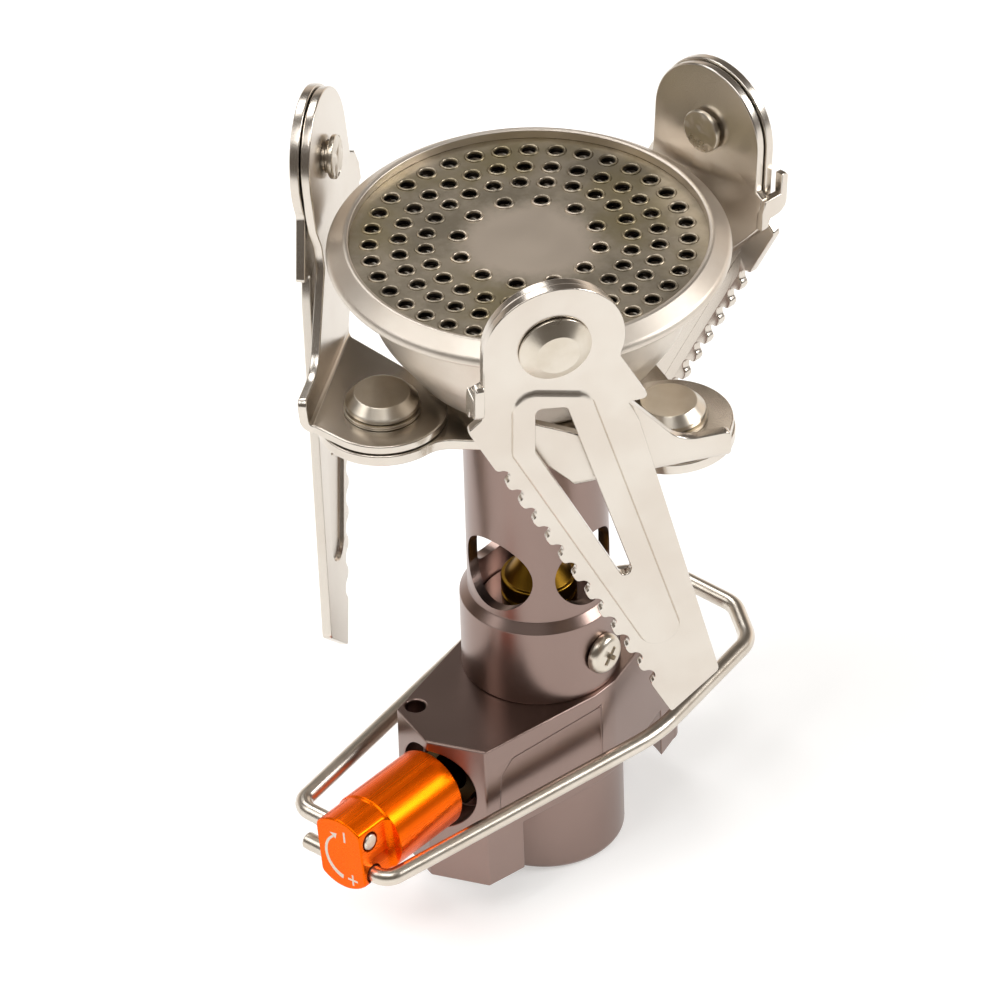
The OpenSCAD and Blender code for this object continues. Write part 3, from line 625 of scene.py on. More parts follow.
def smooth_round(mesh, radius):
    """Gives the corners of the mesh's wall of that radius about Z the normals of a true cylinder."""
    normals = [corner.vector.copy() for corner in mesh.corner_normals]
    for polygon in mesh.polygons:
        if abs(polygon.normal.z) < WALL_NORMAL:
            for k in polygon.loop_indices:
                place = mesh.vertices[mesh.loops[k].vertex_index].co
                outward = Vector((place.x, place.y, 0))
                on_wall = abs(outward.length - radius) < FLAT_GAP * MM
                if on_wall and outward.normalized().dot(polygon.normal) > OUTWARD:
                    normals[k] = outward.normalized()
    mesh.normals_split_custom_set(normals)


def bevelled(mesh, width, least_angle=38, segments=3):
    """The mesh with its sharper edges rounded."""
    draft = draft_of(mesh)
    edges = draft.modifiers.new("edges", "BEVEL")
    edges.width = width * MM
    edges.segments = segments
    edges.limit_method = "ANGLE"
    edges.angle_limit = math.radians(least_angle)
    edges.use_clamp_overlap = False
    return evaluated(draft, mesh.name)


def drilled(mesh, drills):
    """The mesh less the drills' meshes."""
    draft = draft_of(mesh)
    tools = [draft_of(drill) for drill in drills]
    for tool in tools:
        hole = draft.modifiers.new("hole", "BOOLEAN")
        hole.operation = "DIFFERENCE"
        hole.solver = "EXACT"
        hole.object = tool
    result = evaluated(draft, mesh.name)
    for tool in tools:
        bpy.data.objects.remove(tool)
    return result


def turned_mesh(name, profile, closed=False, place=None, sides=TURNED_SIDES):
    return mesh_of(bmesh_of(Shell().turn(profile, closed, sides), place), name)


def rod(name, radius, start, end, sides):
    """A plain round bar between two points, in mm."""
    run = Vector(end) - Vector(start)
    place = Matrix.Translation(Vector(start) * MM) @ run.to_track_quat("Z", "Y").to_matrix().to_4x4()
    profile = [(0, 0), (radius, 0), (radius, run.length), (0, run.length)]
    return turned_mesh(name, profile, place=place, sides=sides)


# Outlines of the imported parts

def merged(node):
    """A CAD node's mesh as a bmesh with its triangles joined."""
    bm = bmesh.new()
    bm.from_mesh(nodes[node].data)
    bmesh.ops.remove_doubles(bm, verts=bm.verts, dist=MERGE_GAP * MM)
    return bm


def patch_loops(faces):
    """Outline and holes, largest first, of a patch of flat faces, each a list of points."""
    points = [point for face in faces for point in face]
    corners = iter(range(len(points)))
    patches = [[next(corners) for _ in face] for face in faces]
    filled = delaunay_2d_cdt(points, [], patches, FILL_ALL, PATCH_TOLERANCE)
    verts, triangles, origins = filled[0], filled[2], filled[5]
    sides = {(a, b) for face, origin in zip(triangles, origins) if origin
             for a, b in zip(face, face[1:] + face[:1])}
    following = {a: b for a, b in sides if (b, a) not in sides}
    loops = []
    while following:
        start, vert = following.popitem()
        loop = [verts[start]]
        while vert != start:
            loop.append(verts[vert])
            vert = following.pop(vert)
        loops.append(loop)
    return sorted(loops, key=loop_area, reverse=True)


def loop_area(loop):
    return abs(sum(a.x * b.y - a.y * b.x for a, b in zip(loop, loop[1:] + loop[:1]))) / 2


def flat_loops(node, place, height):
    """Outline and holes, largest first, of a node's flat faces at one height in a frame."""
    bm = merged(node)
    bm.transform(Matrix.Scale(1 / MM, 4) @ place.inverted())
    bm.normal_update()
    faces = []
    for face in bm.faces:
        is_level = all(abs(vert.co.z - height) < FLAT_GAP for vert in face.verts)
        if is_level and abs(face.normal.z) > FLAT_NORMAL:
            corners = [vert.co.xy for vert in face.verts]
            faces.append(corners if face.normal.z > 0 else corners[::-1])
    bm.free()
    return patch_loops(faces)


# Pieces

def new_piece(name, mesh, body, slot, replaced=()):
    """Makes a finished mesh a piece of the object."""
    piece = linked(name, mesh)
    mesh.materials.clear()
    mesh.materials.append(FINISHES[slot])
    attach(piece, body)
    if replaced:
        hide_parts(*replaced)
    return piece


def stand_in(node, mesh):
    """Makes a finished mesh the piece that stands for a CAD node."""
    return new_piece(node + "_shape", mesh, body_of_node[node], slot_of_node[node], [node])


for node, piece in nodes.items():
    piece.data.materials.clear()
    piece.data.materials.append(FINISHES[slot_of_node[node]])


# Milled and threaded parts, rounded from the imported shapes

MILLED_EDGES = {"valve_body": 0.25, "tube_screw": 0.12, "gland_nut": 0.15}
JOIN_ANGLE = 0.4

for node, width in MILLED_EDGES.items():
    bm = merged(node)
    bmesh.ops.dissolve_limit(bm, angle_limit=math.radians(JOIN_ANGLE), verts=bm.verts, edges=bm.edges)
    stand_in(node, shaded(bevelled(mesh_of(bm, node + "_rounded"), width), TURNED_SOFT))


# Sheet parts

# Thickness and edge of the sheet, an arm's height over the wall's inner face, and the rivets' shanks
SHEET, SHEET_EDGE = 1.2, 0.22
ARM_BACK, ARM_CORNER, ARM_EDGE = 1.35, 0.6, 0.18
PANEL_RISE = 0.5
SHANK_R = 2.0


def wall_frame(i):
    """Frame of an upright's leaning wall at its arm's rivet: X to the right, Y up along it, Z outwards."""
    joint = joints[f"arm_fold_{i}"]
    out = Vector(joint["axis"]).normalized()
    right = Vector((0, 0, 1)).cross(out).normalized()
    turn = Matrix((right, out.cross(right), out)).transposed().to_4x4()
    return Matrix.Translation(joint["pos_m"]) @ turn


def make_arm(i):
    """Toothed arm with its pressed panel, which is hollow behind."""
    place = wall_frame(i)
    panel, slot = flat_loops(f"pot_arm_{i}", place, ARM_BACK + SHEET + PANEL_RISE)[:2]
    outline, *others = flat_loops(f"pot_arm_{i}", place, ARM_BACK)
    rivet_hole = min(others, key=lambda loop: sum(loop, Vector((0, 0))).length / len(loop))
    loops = [softened(outline, ARM_CORNER), rivet_hole]
    shell = sheet(loops, ARM_BACK, ARM_BACK + SHEET, ARM_EDGE, [panel, slot], PANEL_RISE)
    stand_in(f"pot_arm_{i}", shaded(mesh_of(bmesh_of(shell, place), f"arm_{i}")))


def make_support_plate():
    """Three-lobed plate that carries the uprights."""
    low, high = heights("support_plate")
    shell = sheet(flat_loops("support_plate", Matrix(), high), low, high, SHEET_EDGE)
    stand_in("support_plate", shaded(mesh_of(bmesh_of(shell), "support_plate_sheet")))


class BentSection:
    """Outer face of an upright's bent section, from its foot up: X away from the stove's axis, Y up."""

    BEND_R = 1.9
    BEND_STEPS = 10
    JOGGLE = 0.4
    JOGGLE_FROM = -7.8
    JOGGLE_TO = -5.6
    TOP = 12

    def __init__(self, rivet, lean, foot_z):
        sin, cos = math.sin(lean), math.cos(lean)

        def on_wall(x, w):
            return rivet + Vector((x * cos + w * sin, w * cos - x * sin))

        bend_x = SHEET - self.JOGGLE - self.BEND_R
        centre = on_wall(bend_x, (foot_z + self.BEND_R - rivet.y + bend_x * sin) / cos)
        whole = math.pi / 2 - lean
        turns = [whole * k / self.BEND_STEPS - math.pi / 2 for k in range(self.BEND_STEPS + 1)]
        bend = [centre + self.BEND_R * Vector((math.cos(a), math.sin(a))) for a in turns]
        self.points = [Vector((0, foot_z)), *bend, on_wall(SHEET - self.JOGGLE, self.JOGGLE_FROM),
                       on_wall(SHEET, self.JOGGLE_TO), on_wall(SHEET, self.TOP)]
        runs = [b - a for a, b in zip(self.points, self.points[1:])]
        self.starts = [sum(run.length for run in runs[:k]) for k in range(len(self.points))]
        sides = [Vector((run.y, -run.x)).normalized() for run in runs]
        self.sides = [(a + b) / (1 + a.dot(b)) for a, b in zip(sides[:1] + sides, sides + sides[-1:])]

    def stretch(self, s):
        """The stretch that holds the distance s along the section, and the share of it passed there."""
        k = max(k for k in range(len(self.points) - 1) if k == 0 or self.starts[k] <= s)
        return k, (s - self.starts[k]) / (self.starts[k + 1] - self.starts[k])

    def at(self, s, out):
        """The point at the distance s along the section and out of its face."""
        k, share = self.stretch(s)
        return (self.points[k].lerp(self.points[k + 1], share)
                + self.sides[k].lerp(self.sides[k + 1], share) * out)


# An upright's outline before bending, measured from its arm's rivet
END_R = 8.7
TAB_INNER, TAB_LAP = 9.2, 0.6
REST, REST_STEP, TAB_LOW = -6.1, 0.6, -10.2
TAB_ROOT_IN, TAB_ROOT_DOWN = 1.4, 2.4
LOW_WALL_RIGHT, LOW_WALL_TOP, LOW_WALL_R = 23.35, -20.9, 1
WALL_LEFT, BEND_LEFT = 2.4, 4.1
FOOT_R = 8
SWEEP_R, SWEEP_TURN, SWEEP_IN = 5, 51, 4.2
SHANK_GAP = 0.05
WINDOW = ((-3.2, -12.8), (4.4, -16.9), (4.4, -10), (-3.2, -10))
WINDOW_R = 0.6
FACING_LEFT = Matrix(((0, 0, -1, 0), (0, 1, 0, 0), (1, 0, 0, 0), (0, 0, 0, 1)))


def arc(centre, radius, start, end, steps):
    """Points of an arc between two angles in degrees."""
    turns = [math.radians(start + (end - start) * k / steps) for k in range(steps + 1)]
    return [Vector(centre) + radius * Vector((math.cos(a), math.sin(a))) for a in turns]


def touch_angle(point, centre, radius, side):
    """Angle at which the line from a point touches a circle on one side, in degrees."""
    run = Vector(point) - Vector(centre)
    return math.degrees(math.atan2(run.y, run.x) + side * math.acos(radius / run.length))


def upright_blank(section, pivot):
    """Outline and holes of an upright before bending: X right of the arm's rivet, Y along the section."""
    bend_low, bend_high = section.starts[1], section.starts[1 + section.BEND_STEPS]
    top = section.starts[-1] - section.TOP
    low_top = top + LOW_WALL_TOP
    rise = arc((LOW_WALL_RIGHT - SWEEP_IN, low_top + SWEEP_R), SWEEP_R, -90, -90 - SWEEP_TURN, steps=10)
    slant_top = rise[-1].y + (rise[-1].x - END_R) * math.tan(math.radians(SWEEP_TURN))
    left, right = (BEND_LEFT, bend_low), (LOW_WALL_RIGHT, bend_low)
    left_touch = touch_angle(left, pivot, FOOT_R, 1)
    right_touch = touch_angle(right, pivot, FOOT_R, -1) + 360
    tab_left, tab_low = -TAB_INNER - TAB_LAP, top + TAB_LOW
    outline = [*arc((LOW_WALL_RIGHT - LOW_WALL_R, low_top - LOW_WALL_R), LOW_WALL_R, 0, 90, steps=5), *rise,
               (END_R, slant_top), *arc((0, top), END_R, 0, 180, steps=40),
               (-END_R, top + REST + REST_STEP), (tab_left, top + REST), (tab_left, tab_low),
               (TAB_ROOT_IN - TAB_INNER, tab_low - TAB_ROOT_DOWN), (WALL_LEFT, bend_high), left,
               *arc(pivot, FOOT_R, left_touch, right_touch, steps=48), right]
    holes = [arc(centre, SHANK_R + SHANK_GAP, 0, -360, steps=48)[:-1] for centre in ((0, top), pivot)]
    corners = [(x, top + y) for x, y in reversed(WINDOW)]
    holes.append(rounded(corners, [WINDOW_R] * len(corners), closed=True))
    return [[Vector(point) for point in outline], *holes]


def make_upright(i):
    """Bent upright: its sheet is cut flat, then bent; the stop tab is a second sheet at its left edge."""
    node = f"upright_{i}"
    joint = joints[f"arm_fold_{i}"]
    axis = Vector(joint["axis"])
    heading = math.atan2(axis.y, axis.x)
    turn = Matrix.Rotation(heading, 4, "Z")
    rivet = turn.inverted() @ Vector(joint["pos_m"]) / MM
    section = BentSection(Vector((rivet.x, rivet.z)), math.asin(-axis.z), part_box(node)[0].z / MM)
    swivel = turn.inverted() @ Vector(joints[f"swivel_{i}"]["pos_m"]) / MM
    blank = upright_blank(section, (swivel.y - rivet.y, swivel.x))
    bm = bmesh_of(sheet(blank, -SHEET, 0, SHEET_EDGE))
    bmesh.ops.remove_doubles(bm, verts=bm.verts, dist=MERGE_GAP * MM)
    for start in section.starts[1:-1]:
        bmesh.ops.bisect_plane(bm, geom=[*bm.verts, *bm.edges, *bm.faces], dist=MERGE_GAP * MM,
                               plane_co=(0, start * MM, 0), plane_no=(0, 1, 0))
    for vert in bm.verts:
        h, s, out = vert.co / MM
        x, z = section.at(s, out)
        vert.co = turn @ Vector((x, rivet.y + h, z)) * MM
    tab_frame = wall_frame(i) @ FACING_LEFT
    tab_loops = flat_loops(node, tab_frame, TAB_INNER + SHEET)
    tab = bmesh_of(sheet(tab_loops, TAB_INNER, TAB_INNER + SHEET, SHEET_EDGE), tab_frame)
    tab_mesh = mesh_of(tab, node + "_tab")
    bm.from_mesh(tab_mesh)
    bpy.data.meshes.remove(tab_mesh)
    stand_in(node, shaded(mesh_of(bm, node + "_sheet")))


# Turned parts

RIVET_GAP = 0.15
RIVET_OUT = ARM_BACK + SHEET + RIVET_GAP
HEAD_R, HEAD_EDGE, HEAD_HEIGHT, HEAD_FLAT_R = 4.6, 0.3, 1.5, 2.75
PEEN_R, PEEN_HEIGHT, PEEN_FOOT, SHANK_FROM = 2.8, 1.15, 0.5, 0.3
PEEN_RINGS = 8
DENT_DEPTH, DENT_SCALE, DENT_STEP, DENT_REACH = 0.3, 0.75, 7.3, 0.1


def make_arm_rivet(i):
    """Cone-headed rivet; its inner end is a hammered button that stands off the sheet."""
    top = RIVET_OUT + HEAD_HEIGHT
    button = [(PEEN_R * k / PEEN_RINGS, -PEEN_HEIGHT) for k in range(PEEN_RINGS)]
    profile = rounded([*button, (PEEN_R, -PEEN_HEIGHT), (PEEN_R, -PEEN_FOOT), (SHANK_R, -SHANK_FROM),
                       (SHANK_R, RIVET_OUT), (HEAD_R, RIVET_OUT), (HEAD_R, RIVET_OUT + HEAD_EDGE),
                       (HEAD_FLAT_R, top), (0, top)],
                      [0] * len(button) + [0.2, 0.15, 0, 0, 0.08, 0.15, 0.3, 0])
    shell = Shell().turn(profile)
    for point in shell.points:
        if point.z < DENT_REACH - PEEN_HEIGHT:
            dent = noise.noise(Vector((point.x, point.y, i * DENT_STEP)) * DENT_SCALE)
            point.z += DENT_DEPTH * max(dent, 0)
    mesh = mesh_of(bmesh_of(shell, wall_frame(i)), f"arm_rivet_{i}_turned")
    stand_in(f"arm_rivet_{i}", shaded(mesh, TURNED_SOFT))


def make_cup():
    """Spun bowl with its rim rolled over the burner plate."""
    low, high = heights("burner_cup")
    rim_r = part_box("burner_cup")[1].x / MM
    rim_top, skirt, slope_from = high + 0.3, high - 2.7, high - 1.4
    bore_r, seat_r, floor_r = 8.27, 11.4, 14.2
    inner_r, bowl_r, belly_r = rim_r - 2.8, rim_r - 3.8, rim_r - 5.6
    floor_z, belly_z, wall = low + 2.1, low + 9.9, 0.8
    groove_r, groove_low = inner_r + 0.45, PLATE_TOP - 0.85
    outer = [((bore_r, low), 0), ((seat_r, low), 0.4), ((seat_r, floor_z), 0.5), ((floor_r, floor_z), 3),
             ((belly_r, belly_z), 9), ((bowl_r, skirt), 0.2)]
    rim = [((rim_r, skirt), 0.8), ((rim_r, slope_from), 1.2), ((inner_r + 0.5, rim_top), 0.6),
           ((inner_r, rim_top - 0.15), 0.15), ((inner_r, PLATE_TOP), 0.1), ((groove_r, PLATE_TOP), 0),
           ((groove_r, groove_low), 0)]
    inner = [((bowl_r - wall, groove_low), 0), ((bowl_r - wall, skirt), 0),
             ((belly_r - wall, belly_z + 0.3), 8), ((floor_r - 0.5, floor_z + wall), 2.4),
             ((seat_r - wall, floor_z + wall), 0.5), ((seat_r - wall, low + wall), 0.3),
             ((bore_r, low + wall), 0)]
    profile = rounded(*zip(*outer, *rim, *inner), closed=True, steps=8)
    mesh = turned_mesh("burner_cup_spun", profile, closed=True, sides=160)
    stand_in("burner_cup", shaded(mesh, TURNED_SOFT))


def make_tube():
    """Mixing tube with its collar and four air holes."""
    low, high = heights("mixing_tube")
    collar_r, tube_r, bore_r, neck_r, neck_wall = 10.05, 9, 7.65, 8.25, 0.8
    shoulder, chamfer, neck_from = low + 11, 1.2, 69.5
    air_z, air_r, air_reach = low + 18.4, 5.3, 2 * tube_r
    profile = rounded([(bore_r, low), (collar_r, low), (collar_r, shoulder), (tube_r, shoulder + chamfer),
                       (tube_r, neck_from), (neck_r, neck_from), (neck_r, high), (neck_r - neck_wall, high),
                       (neck_r - neck_wall, neck_from - 1.5), (bore_r, neck_from - 2.3)],
                      [0, 0.2, 0.25, 0.3, 0.15, 0, 0.1, 0.1, 0, 0], closed=True)
    tube = turned_mesh("mixing_tube_turned", profile, closed=True, sides=128)
    centre = Vector((0, 0, air_z))
    across = [Vector(axis) * air_reach for axis in ((1, 0, 0), (0, 1, 0))]
    drills = [rod("air_drill", air_r, centre - run, centre + run, sides=64) for run in across]
    mesh = shaded(drilled(tube, drills), TURNED_SOFT)
    smooth_round(mesh, tube_r * MM)
    stand_in("mixing_tube", mesh)


def make_jet():
    """Brass jet in the tube's foot, with a turned groove and a conical nose."""
    low, high = heights("gas_jet")
    stem_r, body_r, groove_r, nose_r, bore_r = 2.4, 4.8, 4.45, 2, 0.3
    base, bore_end = low + 4.6, high - 2
    groove_low, groove_high, slant = base + 1.5, base + 2.1, 0.1
    shoulder, ledge = base + 4, 0.5
    profile = rounded([(0, low), (stem_r, low), (stem_r, base), (body_r, base), (body_r, groove_low),
                       (groove_r, groove_low + slant), (groove_r, groove_high - slant), (body_r, groove_high),
                       (body_r, shoulder), (body_r - ledge, shoulder), (nose_r, high), (bore_r, high),
                       (bore_r, bore_end), (0, bore_end)],
                      [0, 0.2, 0, 0.2, 0.08, 0.08, 0.08, 0.08, 0.25, 0.1, 0.3, 0.05, 0, 0])
    stand_in("gas_jet", shaded(turned_mesh("gas_jet_turned", profile)))


KNOB_FLAT, KNOB_TURN, KNOB_WALL = 3.55, math.radians(6), 5.5
KNOB_FILLET, KNOB_STEP, KNOB_STEP_LENGTH = 0.9, 0.2, 0.5
KNOB_LIP, KNOB_LIP_LENGTH = 0.1, 0.02
KNOB_SIDES, KNOB_SHARPNESS, KNOB_FILLET_STEPS = 180, 60, 8
WIRE_HOLE_R, WIRE_HOLE_IN, WIRE_HOLE_SIDE, WIRE_HOLE_REACH = 1.36, 1.9, 2.4, 9
KNOB_EDGE = ((0, 0.28), (0.1, 0.1), (0.28, 0))


def knob_stations(radius, length):
    """Distance from the knob's end, radius of its round and half width of its flats, along the knob."""
    end_r, plain = radius - KNOB_STEP, 2 * radius

    def round_r(u):
        share = min(max((u - KNOB_WALL) / KNOB_STEP_LENGTH + 1, 0), 1)
        return end_r + KNOB_STEP * share * share

    foot_turns = [math.pi / 2 * k / KNOB_FILLET_STEPS for k in range(KNOB_FILLET_STEPS + 1)]
    foot = [(KNOB_WALL - KNOB_FILLET * (1 - math.sin(a)), KNOB_FLAT + KNOB_FILLET * (1 - math.cos(a)))
            for a in foot_turns]
    return [*((u, end_r - cut, KNOB_FLAT - cut / 3) for u, cut in KNOB_EDGE),
            *((u, round_r(u), half) for u, half in foot),
            (KNOB_WALL + KNOB_LIP_LENGTH, radius, radius - KNOB_LIP), (KNOB_WALL + KNOB_LIP, radius, plain),
            *((length - u, radius - cut, plain) for u, cut in reversed(KNOB_EDGE))]


def make_knob():
    """Round knob, turned down at its end, with two milled flats and two holes for the wire."""
    radius, length = (KNOB_HIGH.z - KNOB_LOW.z) / 2, KNOB_HIGH.y - KNOB_LOW.y
    turns = [2 * math.pi * k / KNOB_SIDES for k in range(KNOB_SIDES)]
    shell = Shell()
    rings = []
    for u, r, half in knob_stations(radius, length):
        across = [abs(math.cos(a - KNOB_TURN)) / half for a in turns]
        reach = [(r ** -KNOB_SHARPNESS + side ** KNOB_SHARPNESS) ** (-1 / KNOB_SHARPNESS) for side in across]
        rings.append(shell.ring([(d * math.cos(a), KNOB_LOW.y + u, KNOB_AXIS_Z + d * math.sin(a))
                                 for d, a in zip(reach, turns)]))
    shell.wall(rings)
    shell.faces += [tuple(rings[0]), tuple(rings[-1][::-1])]
    bar = mesh_of(bmesh_of(shell), "knob_turned")
    drills = []
    for z in (KNOB_AXIS_Z - WIRE_HOLE_SIDE, KNOB_AXIS_Z + WIRE_HOLE_SIDE):
        start, end = ((x, KNOB_LOW.y + WIRE_HOLE_IN, z) for x in (-WIRE_HOLE_REACH, WIRE_HOLE_REACH))
        drills.append(rod("wire_drill", WIRE_HOLE_R, start, end, sides=40))
    stand_in("control_knob", shaded(drilled(bar, drills), KNOB_SOFT))


for i in ARM_NUMBERS:
    make_arm(i)
    make_upright(i)
    make_arm_rivet(i)
make_support_plate()
make_cup()
make_tube()
make_jet()
make_knob()


# Repeated and drawn parts

class Recipe(NodeMaker):
    """A Geometry Nodes tree with named inputs."""

    def __init__(self, name, **inputs):
        super().__init__(bpy.data.node_groups.new(name, "GeometryNodeTree"))
        self.tree.interface.new_socket("Geometry", in_out="INPUT", socket_type="NodeSocketGeometry")
        self.identifiers = {}
        for label, kind in inputs.items():
            socket = self.tree.interface.new_socket(label, in_out="INPUT", socket_type="NodeSocket" + kind)
            self.identifiers[label] = socket.identifier
        self.tree.interface.new_socket("Geometry", in_out="OUTPUT", socket_type="NodeSocketGeometry")
        outputs = self.tree.nodes.new("NodeGroupInput").outputs
        self.given = {label: Value(self, outputs[label]) for label in ("Geometry", *inputs)}

    def end(self, geometry):
        """Ends the tree in real geometry with its material."""
        solid = self.node("GeometryNodeRealizeInstances", None, {"Geometry": geometry})
        painted = self.node("GeometryNodeSetMaterial", None,
                            {"Geometry": solid, "Material": self.given["material"]})
        self.node("NodeGroupOutput", None, {"Geometry": painted})

    def apply(self, draft, **values):
        """Adds the tree to a draft with its inputs set."""
        modifier = draft.modifiers.new(self.tree.name, "NODES")
        modifier.node_group = self.tree
        for label, value in values.items():
            modifier[self.identifiers[label]] = value


def ring_recipe():
    """A ring of copies of one part round the stove's axis, added to what is there."""
    r = Recipe("ring_of_copies", part="Object", count="Int", radius="Float", turn="Float",
               material="Material")
    circle = r.node("GeometryNodeMeshCircle", None,
                    {"Vertices": r.given["count"], "Radius": r.given["radius"]})
    about_z = r.node("ShaderNodeCombineXYZ", None, {"Z": r.given["turn"]})
    turned_ring = r.node("GeometryNodeTransform", None, {"Geometry": circle, "Rotation": about_z})
    part = r.node("GeometryNodeObjectInfo", None, {"Object": r.given["part"]}, out="Geometry")
    copies = r.node("GeometryNodeInstanceOnPoints", None, {"Points": turned_ring, "Instance": part})
    joined = r.node("GeometryNodeJoinGeometry", None, {"Geometry": r.given["Geometry"]})
    r.tree.links.new(copies.socket, joined.socket.node.inputs["Geometry"])
    r.end(joined)
    return r


def wire_recipe():
    """Round wire along a line of points, bent at each to the radius of its attribute."""
    r = Recipe("drawn_wire", radius="Float", steps="Int", sides="Int", material="Material")
    line = r.node("GeometryNodeMeshToCurve", None, {"Mesh": r.given["Geometry"]})
    bend = r.node("GeometryNodeInputNamedAttribute", {"data_type": "FLOAT"}, {"Name": "bend"})
    bent = r.node("GeometryNodeFilletCurve", {"mode": "POLY"},
                  {"Curve": line, "Count": r.given["steps"], "Radius": bend})
    circle = r.node("GeometryNodeCurvePrimitiveCircle", None,
                    {"Resolution": r.given["sides"], "Radius": r.given["radius"]})
    solid = r.node("GeometryNodeCurveToMesh", None,
                   {"Curve": bent, "Profile Curve": circle, "Fill Caps": True})
    r.end(solid)
    return r


RING = ring_recipe()
WIRE = wire_recipe()


def ring_piece(name, part_mesh, rings, slot, replaced=()):
    """Makes rings of copies a piece of the stove; each is a count, a radius in mm and a turn in radians."""
    part = draft_of(part_mesh)
    draft = draft_of(bpy.data.meshes.new(name))
    for count, radius, turn in rings:
        RING.apply(draft, part=part, count=count, radius=radius * MM, turn=turn, material=FINISHES[slot])
    mesh = evaluated(draft, name)
    bpy.data.objects.remove(part)
    new_piece(name, mesh, "stove", slot, replaced)


def swivel_pieces(name, part_mesh, node):
    """A part on each of the three swivels, where it stands for its CAD nodes."""
    first = Vector(joints["swivel_1"]["pos_m"]) / MM
    ring = (len(ARM_NUMBERS), first.xy.length, math.atan2(first.y, first.x))
    ring_piece(name, part_mesh, [ring], "rivet_steel", [f"{node}_{i}" for i in ARM_NUMBERS])


def make_swivel_rivets():
    """Rivets with a cone-shaped head above and a hammered foot below the plate."""
    low, high = heights("swivel_rivet_1")
    plate_bottom, head, head_top = low + 0.9, high - 2, high - 1.2
    foot_r, flare_r, head_r, flat_r, chamfer = 2.4, 3, 4.6, 3.5, 0.25
    profile = rounded([(0, low), (foot_r, low), (flare_r, plate_bottom), (SHANK_R, plate_bottom),
                       (SHANK_R, head), (head_r - chamfer, head), (head_r, head + chamfer),
                       (head_r, head_top), (flat_r, high), (0, high)],
                      [0, 0.3, 0.1, 0, 0, 0.08, 0.08, 0.25, 0.25, 0])
    part = shaded(turned_mesh("swivel_rivet_turned", profile), TURNED_SOFT)
    swivel_pieces("swivel_rivets", part, "swivel_rivet")


def make_swivel_washers():
    """Spring washers of two thin leaves."""
    low, high = heights("swivel_washer_1")
    bore_r, outer_r, gap_r = 2.06, 4.8, 4.45
    leaf, slant = 0.21, 0.02
    profile = rounded([(bore_r, low), (outer_r, low), (outer_r, low + leaf), (gap_r, low + leaf + slant),
                       (gap_r, high - leaf - slant), (outer_r, high - leaf), (outer_r, high), (bore_r, high)],
                      [0, 0.06, 0.06, 0, 0, 0.06, 0.06, 0], closed=True, steps=2)
    part = shaded(turned_mesh("swivel_washer_turned", profile, closed=True))
    swivel_pieces("swivel_washers", part, "swivel_washer")


FLAME_RINGS = ((36, 19.7), (30, 16.1), (24, 12.8), (12, 8.9))
LIP_PROFILE = ((1.36, -0.02), (1.24, 0.16), (1.08, 0.2), (0.96, 0.06), (0.9, -0.14), (0.9, -0.5))


def make_flame_lips():
    """Raised lips that punching leaves round the flame holes."""
    profile = [(radius, PLATE_TOP + rise) for radius, rise in LIP_PROFILE]
    part = turned_mesh("flame_lip", profile, closed=True, sides=16)
    part.shade_smooth()
    ring_piece("flame_lips", part, [(count, radius, 0) for count, radius in FLAME_RINGS], "grid_steel")


GAUZE_R, GAUZE_WIRE_R, GAUZE_STEP, GAUZE_DEPTH = 20.9, 0.2, 1.25, 0.98


def make_gauze():
    """Wire gauze close under the burner plate, seen through the flame holes."""
    low = PLATE_TOP - GAUZE_DEPTH
    count = int(GAUZE_R / GAUZE_STEP)
    points = []
    for turn, z in ((math.pi / 4, low), (-math.pi / 4, low - 2 * GAUZE_WIRE_R)):
        along = math.cos(turn) * view_right + math.sin(turn) * toward
        aside = math.cos(turn) * toward - math.sin(turn) * view_right
        for k in range(-count, count + 1):
            half = math.sqrt(GAUZE_R ** 2 - (k * GAUZE_STEP) ** 2)
            points += [along * side * half + aside * k * GAUZE_STEP + Vector((0, 0, z)) for side in (-1, 1)]
    lines = bpy.data.meshes.new("gauze_lines")
    lines.from_pydata([point * MM for point in points], [(k, k + 1) for k in range(0, len(points), 2)], [])
    draft = draft_of(lines)
    WIRE.apply(draft, radius=GAUZE_WIRE_R * MM, steps=1, sides=6, material=FINISHES["cup_steel"])
    new_piece("burner_gauze", shaded(evaluated(draft, "burner_gauze"), GAUZE_SOFT), "stove", "cup_steel")


WIRE_R, WIRE_END_EDGE = 1.1, 0.2
BAIL_PATH = [((3.5, -37.4, 21.6), 0), ((-8.6, -37.4, 21.6), 2.6), ((-14.8, 5, 20.2), 18),
             ((-10.5, 28.5, 18.2), 5), ((-4.5, 33, 17.4), 4), ((4.5, 33, 17.2), 4), ((10.5, 28.5, 17), 5),
             ((14.8, 5, 18.4), 18), ((6, -37.4, 16.8), 2), ((-7.2, -37.4, 16.8), 0)]


def make_bail():
    """Wire bail with its two straight ends, bent along a path of points with their bending radii."""
    line = bpy.data.meshes.new("bail_line")
    points = [Vector(point) * MM for point, _ in BAIL_PATH]
    line.from_pydata(points, [(k, k + 1) for k in range(len(points) - 1)], [])
    bend = line.attributes.new("bend", "FLOAT", "POINT")
    bend.data.foreach_set("value", [radius * MM for _, radius in BAIL_PATH])
    draft = draft_of(line)
    WIRE.apply(draft, radius=WIRE_R * MM, steps=10, sides=32, material=FINISHES["wire"])
    wire = bevelled(evaluated(draft, "bail_wire"), WIRE_END_EDGE, least_angle=60, segments=2)
    new_piece("bail_wire", shaded(wire, TURNED_SOFT), "bail", "wire", ["wire_bail", "bail_ends"])


make_swivel_rivets()
make_swivel_washers()
make_flame_lips()
make_gauze()
make_bail()


# Studio

FLOOR_SIZE = 6.0
FLOOR_WHITE = 0.62
FLOOR_GLOW, GLOW_TINT = 0.46, (1, 0.99, 0.97, 1)


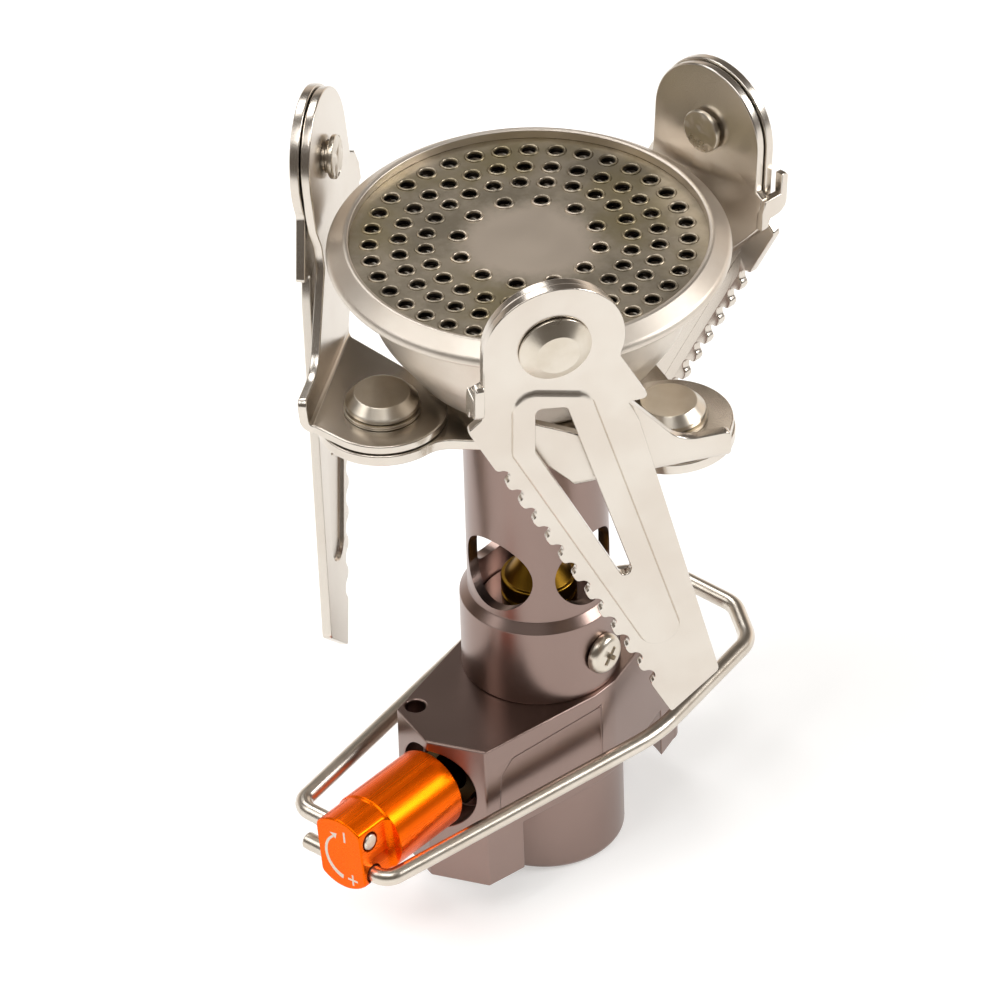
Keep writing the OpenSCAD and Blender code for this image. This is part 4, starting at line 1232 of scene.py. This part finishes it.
def make_floor():
    """White floor that takes the stove's shadow; its glow shows only to the camera and in bright metal."""
    mesh = bpy.data.meshes.new("floor")
    half = FLOOR_SIZE / 2
    corners = [(x * half, y * half, cad_box[0].z) for x, y in ((-1, -1), (1, -1), (1, 1), (-1, 1))]
    mesh.from_pydata(corners, [], [(0, 1, 2, 3)])
    floor = linked("floor", mesh)
    f = Finish("floor")
    diffuse = f.node("ShaderNodeBsdfDiffuse", None, {"Color": (FLOOR_WHITE, FLOOR_WHITE, FLOOR_WHITE, 1)})
    glow = f.node("ShaderNodeEmission", None, {"Color": GLOW_TINT, "Strength": FLOOR_GLOW})
    camera_ray = f.node("ShaderNodeLightPath", out="Is Camera Ray")
    glossy_ray = f.node("ShaderNodeLightPath", out="Is Glossy Ray")
    seen = camera_ray.math("MAXIMUM", glossy_ray)
    both = f.node("ShaderNodeAddShader", None, {0: diffuse, 1: glow})
    shown = f.node("ShaderNodeMixShader", None, {0: seen, 1: diffuse, 2: both})
    f.node("ShaderNodeOutputMaterial", None, {"Surface": shown})
    mesh.materials.append(f.material)


class Surroundings(NodeMaker):
    """The studio: a white screen low behind the stove, brighter on the right, and dim walls."""

    SCREEN, SCREEN_LEFT = 1.1, 0.6
    BEHIND, OVERHEAD, IN_FRONT = 0.11, 0.14, 0.13
    TINT = (1, 0.87, 0.75, 1)

    def __init__(self):
        world = bpy.data.worlds.new("studio")
        world.use_nodes = True
        super().__init__(world.node_tree)
        ahead, aside, up = (self.along(way) for way in (toward, view_right, (0, 0, 1)))
        behind = 1 - ahead.between(-0.4, 0.3)
        overhead = up.between(0.5, 0.9)
        walls = self.IN_FRONT + behind * (self.BEHIND - self.IN_FRONT)
        on_screen = (1 - ahead.between(-0.6, -0.2)) * (1 - up.between(0.2, 0.4))
        sideways = self.SCREEN_LEFT + aside.between(0.1, 0.4) * (1 - self.SCREEN_LEFT)
        light = walls * (1 - overhead) + overhead * self.OVERHEAD + on_screen * sideways * self.SCREEN
        background = self.node("ShaderNodeBackground", None, {"Color": self.TINT, "Strength": light})
        self.node("ShaderNodeOutputWorld", None, {"Surface": background})
        bpy.context.scene.world = world

    def along(self, way):
        """How far a ray heads in one way, from -1 to 1."""
        ray = self.node("ShaderNodeTexCoord", out="Generated")
        return self.node("ShaderNodeVectorMath", {"operation": "DOT_PRODUCT"}, {0: ray, 1: way}, out="Value")


LAMP_AIM = Vector((0, 0, 50 * MM))


def softbox(name, front, right, up, size, power, mirrored=True):
    """A lamp aimed at the stove, placed in metres by the camera's view; mirrored if bright metal shows it."""
    lamp = bpy.data.lights.new(name, "AREA")
    lamp.shape = "RECTANGLE"
    lamp.size, lamp.size_y = size
    lamp.energy = power
    light = linked(name, lamp)
    light.location = toward * front + view_right * right + Vector((0, 0, up))
    light.rotation_mode = "QUATERNION"
    light.rotation_quaternion = (LAMP_AIM - light.location).to_track_quat("-Z", "Y")
    light.visible_glossy = mirrored


make_floor()
Surroundings()
softbox("key", front=0.5, right=-0.75, up=1.0, size=(0.8, 0.6), power=9, mirrored=False)
softbox("fill", front=0, right=1.05, up=0.72, size=(0.6, 0.35), power=8)
softbox("left", front=0.1, right=-1.0, up=1.0, size=(0.8, 0.6), power=4)
softbox("top", front=0.5, right=-0.15, up=1.25, size=(0.9, 0.6), power=6)
softbox("back", front=-0.8, right=-0.4, up=1.3, size=(0.6, 0.6), power=5)
bpy.context.scene.view_settings.view_transform = "Standard"
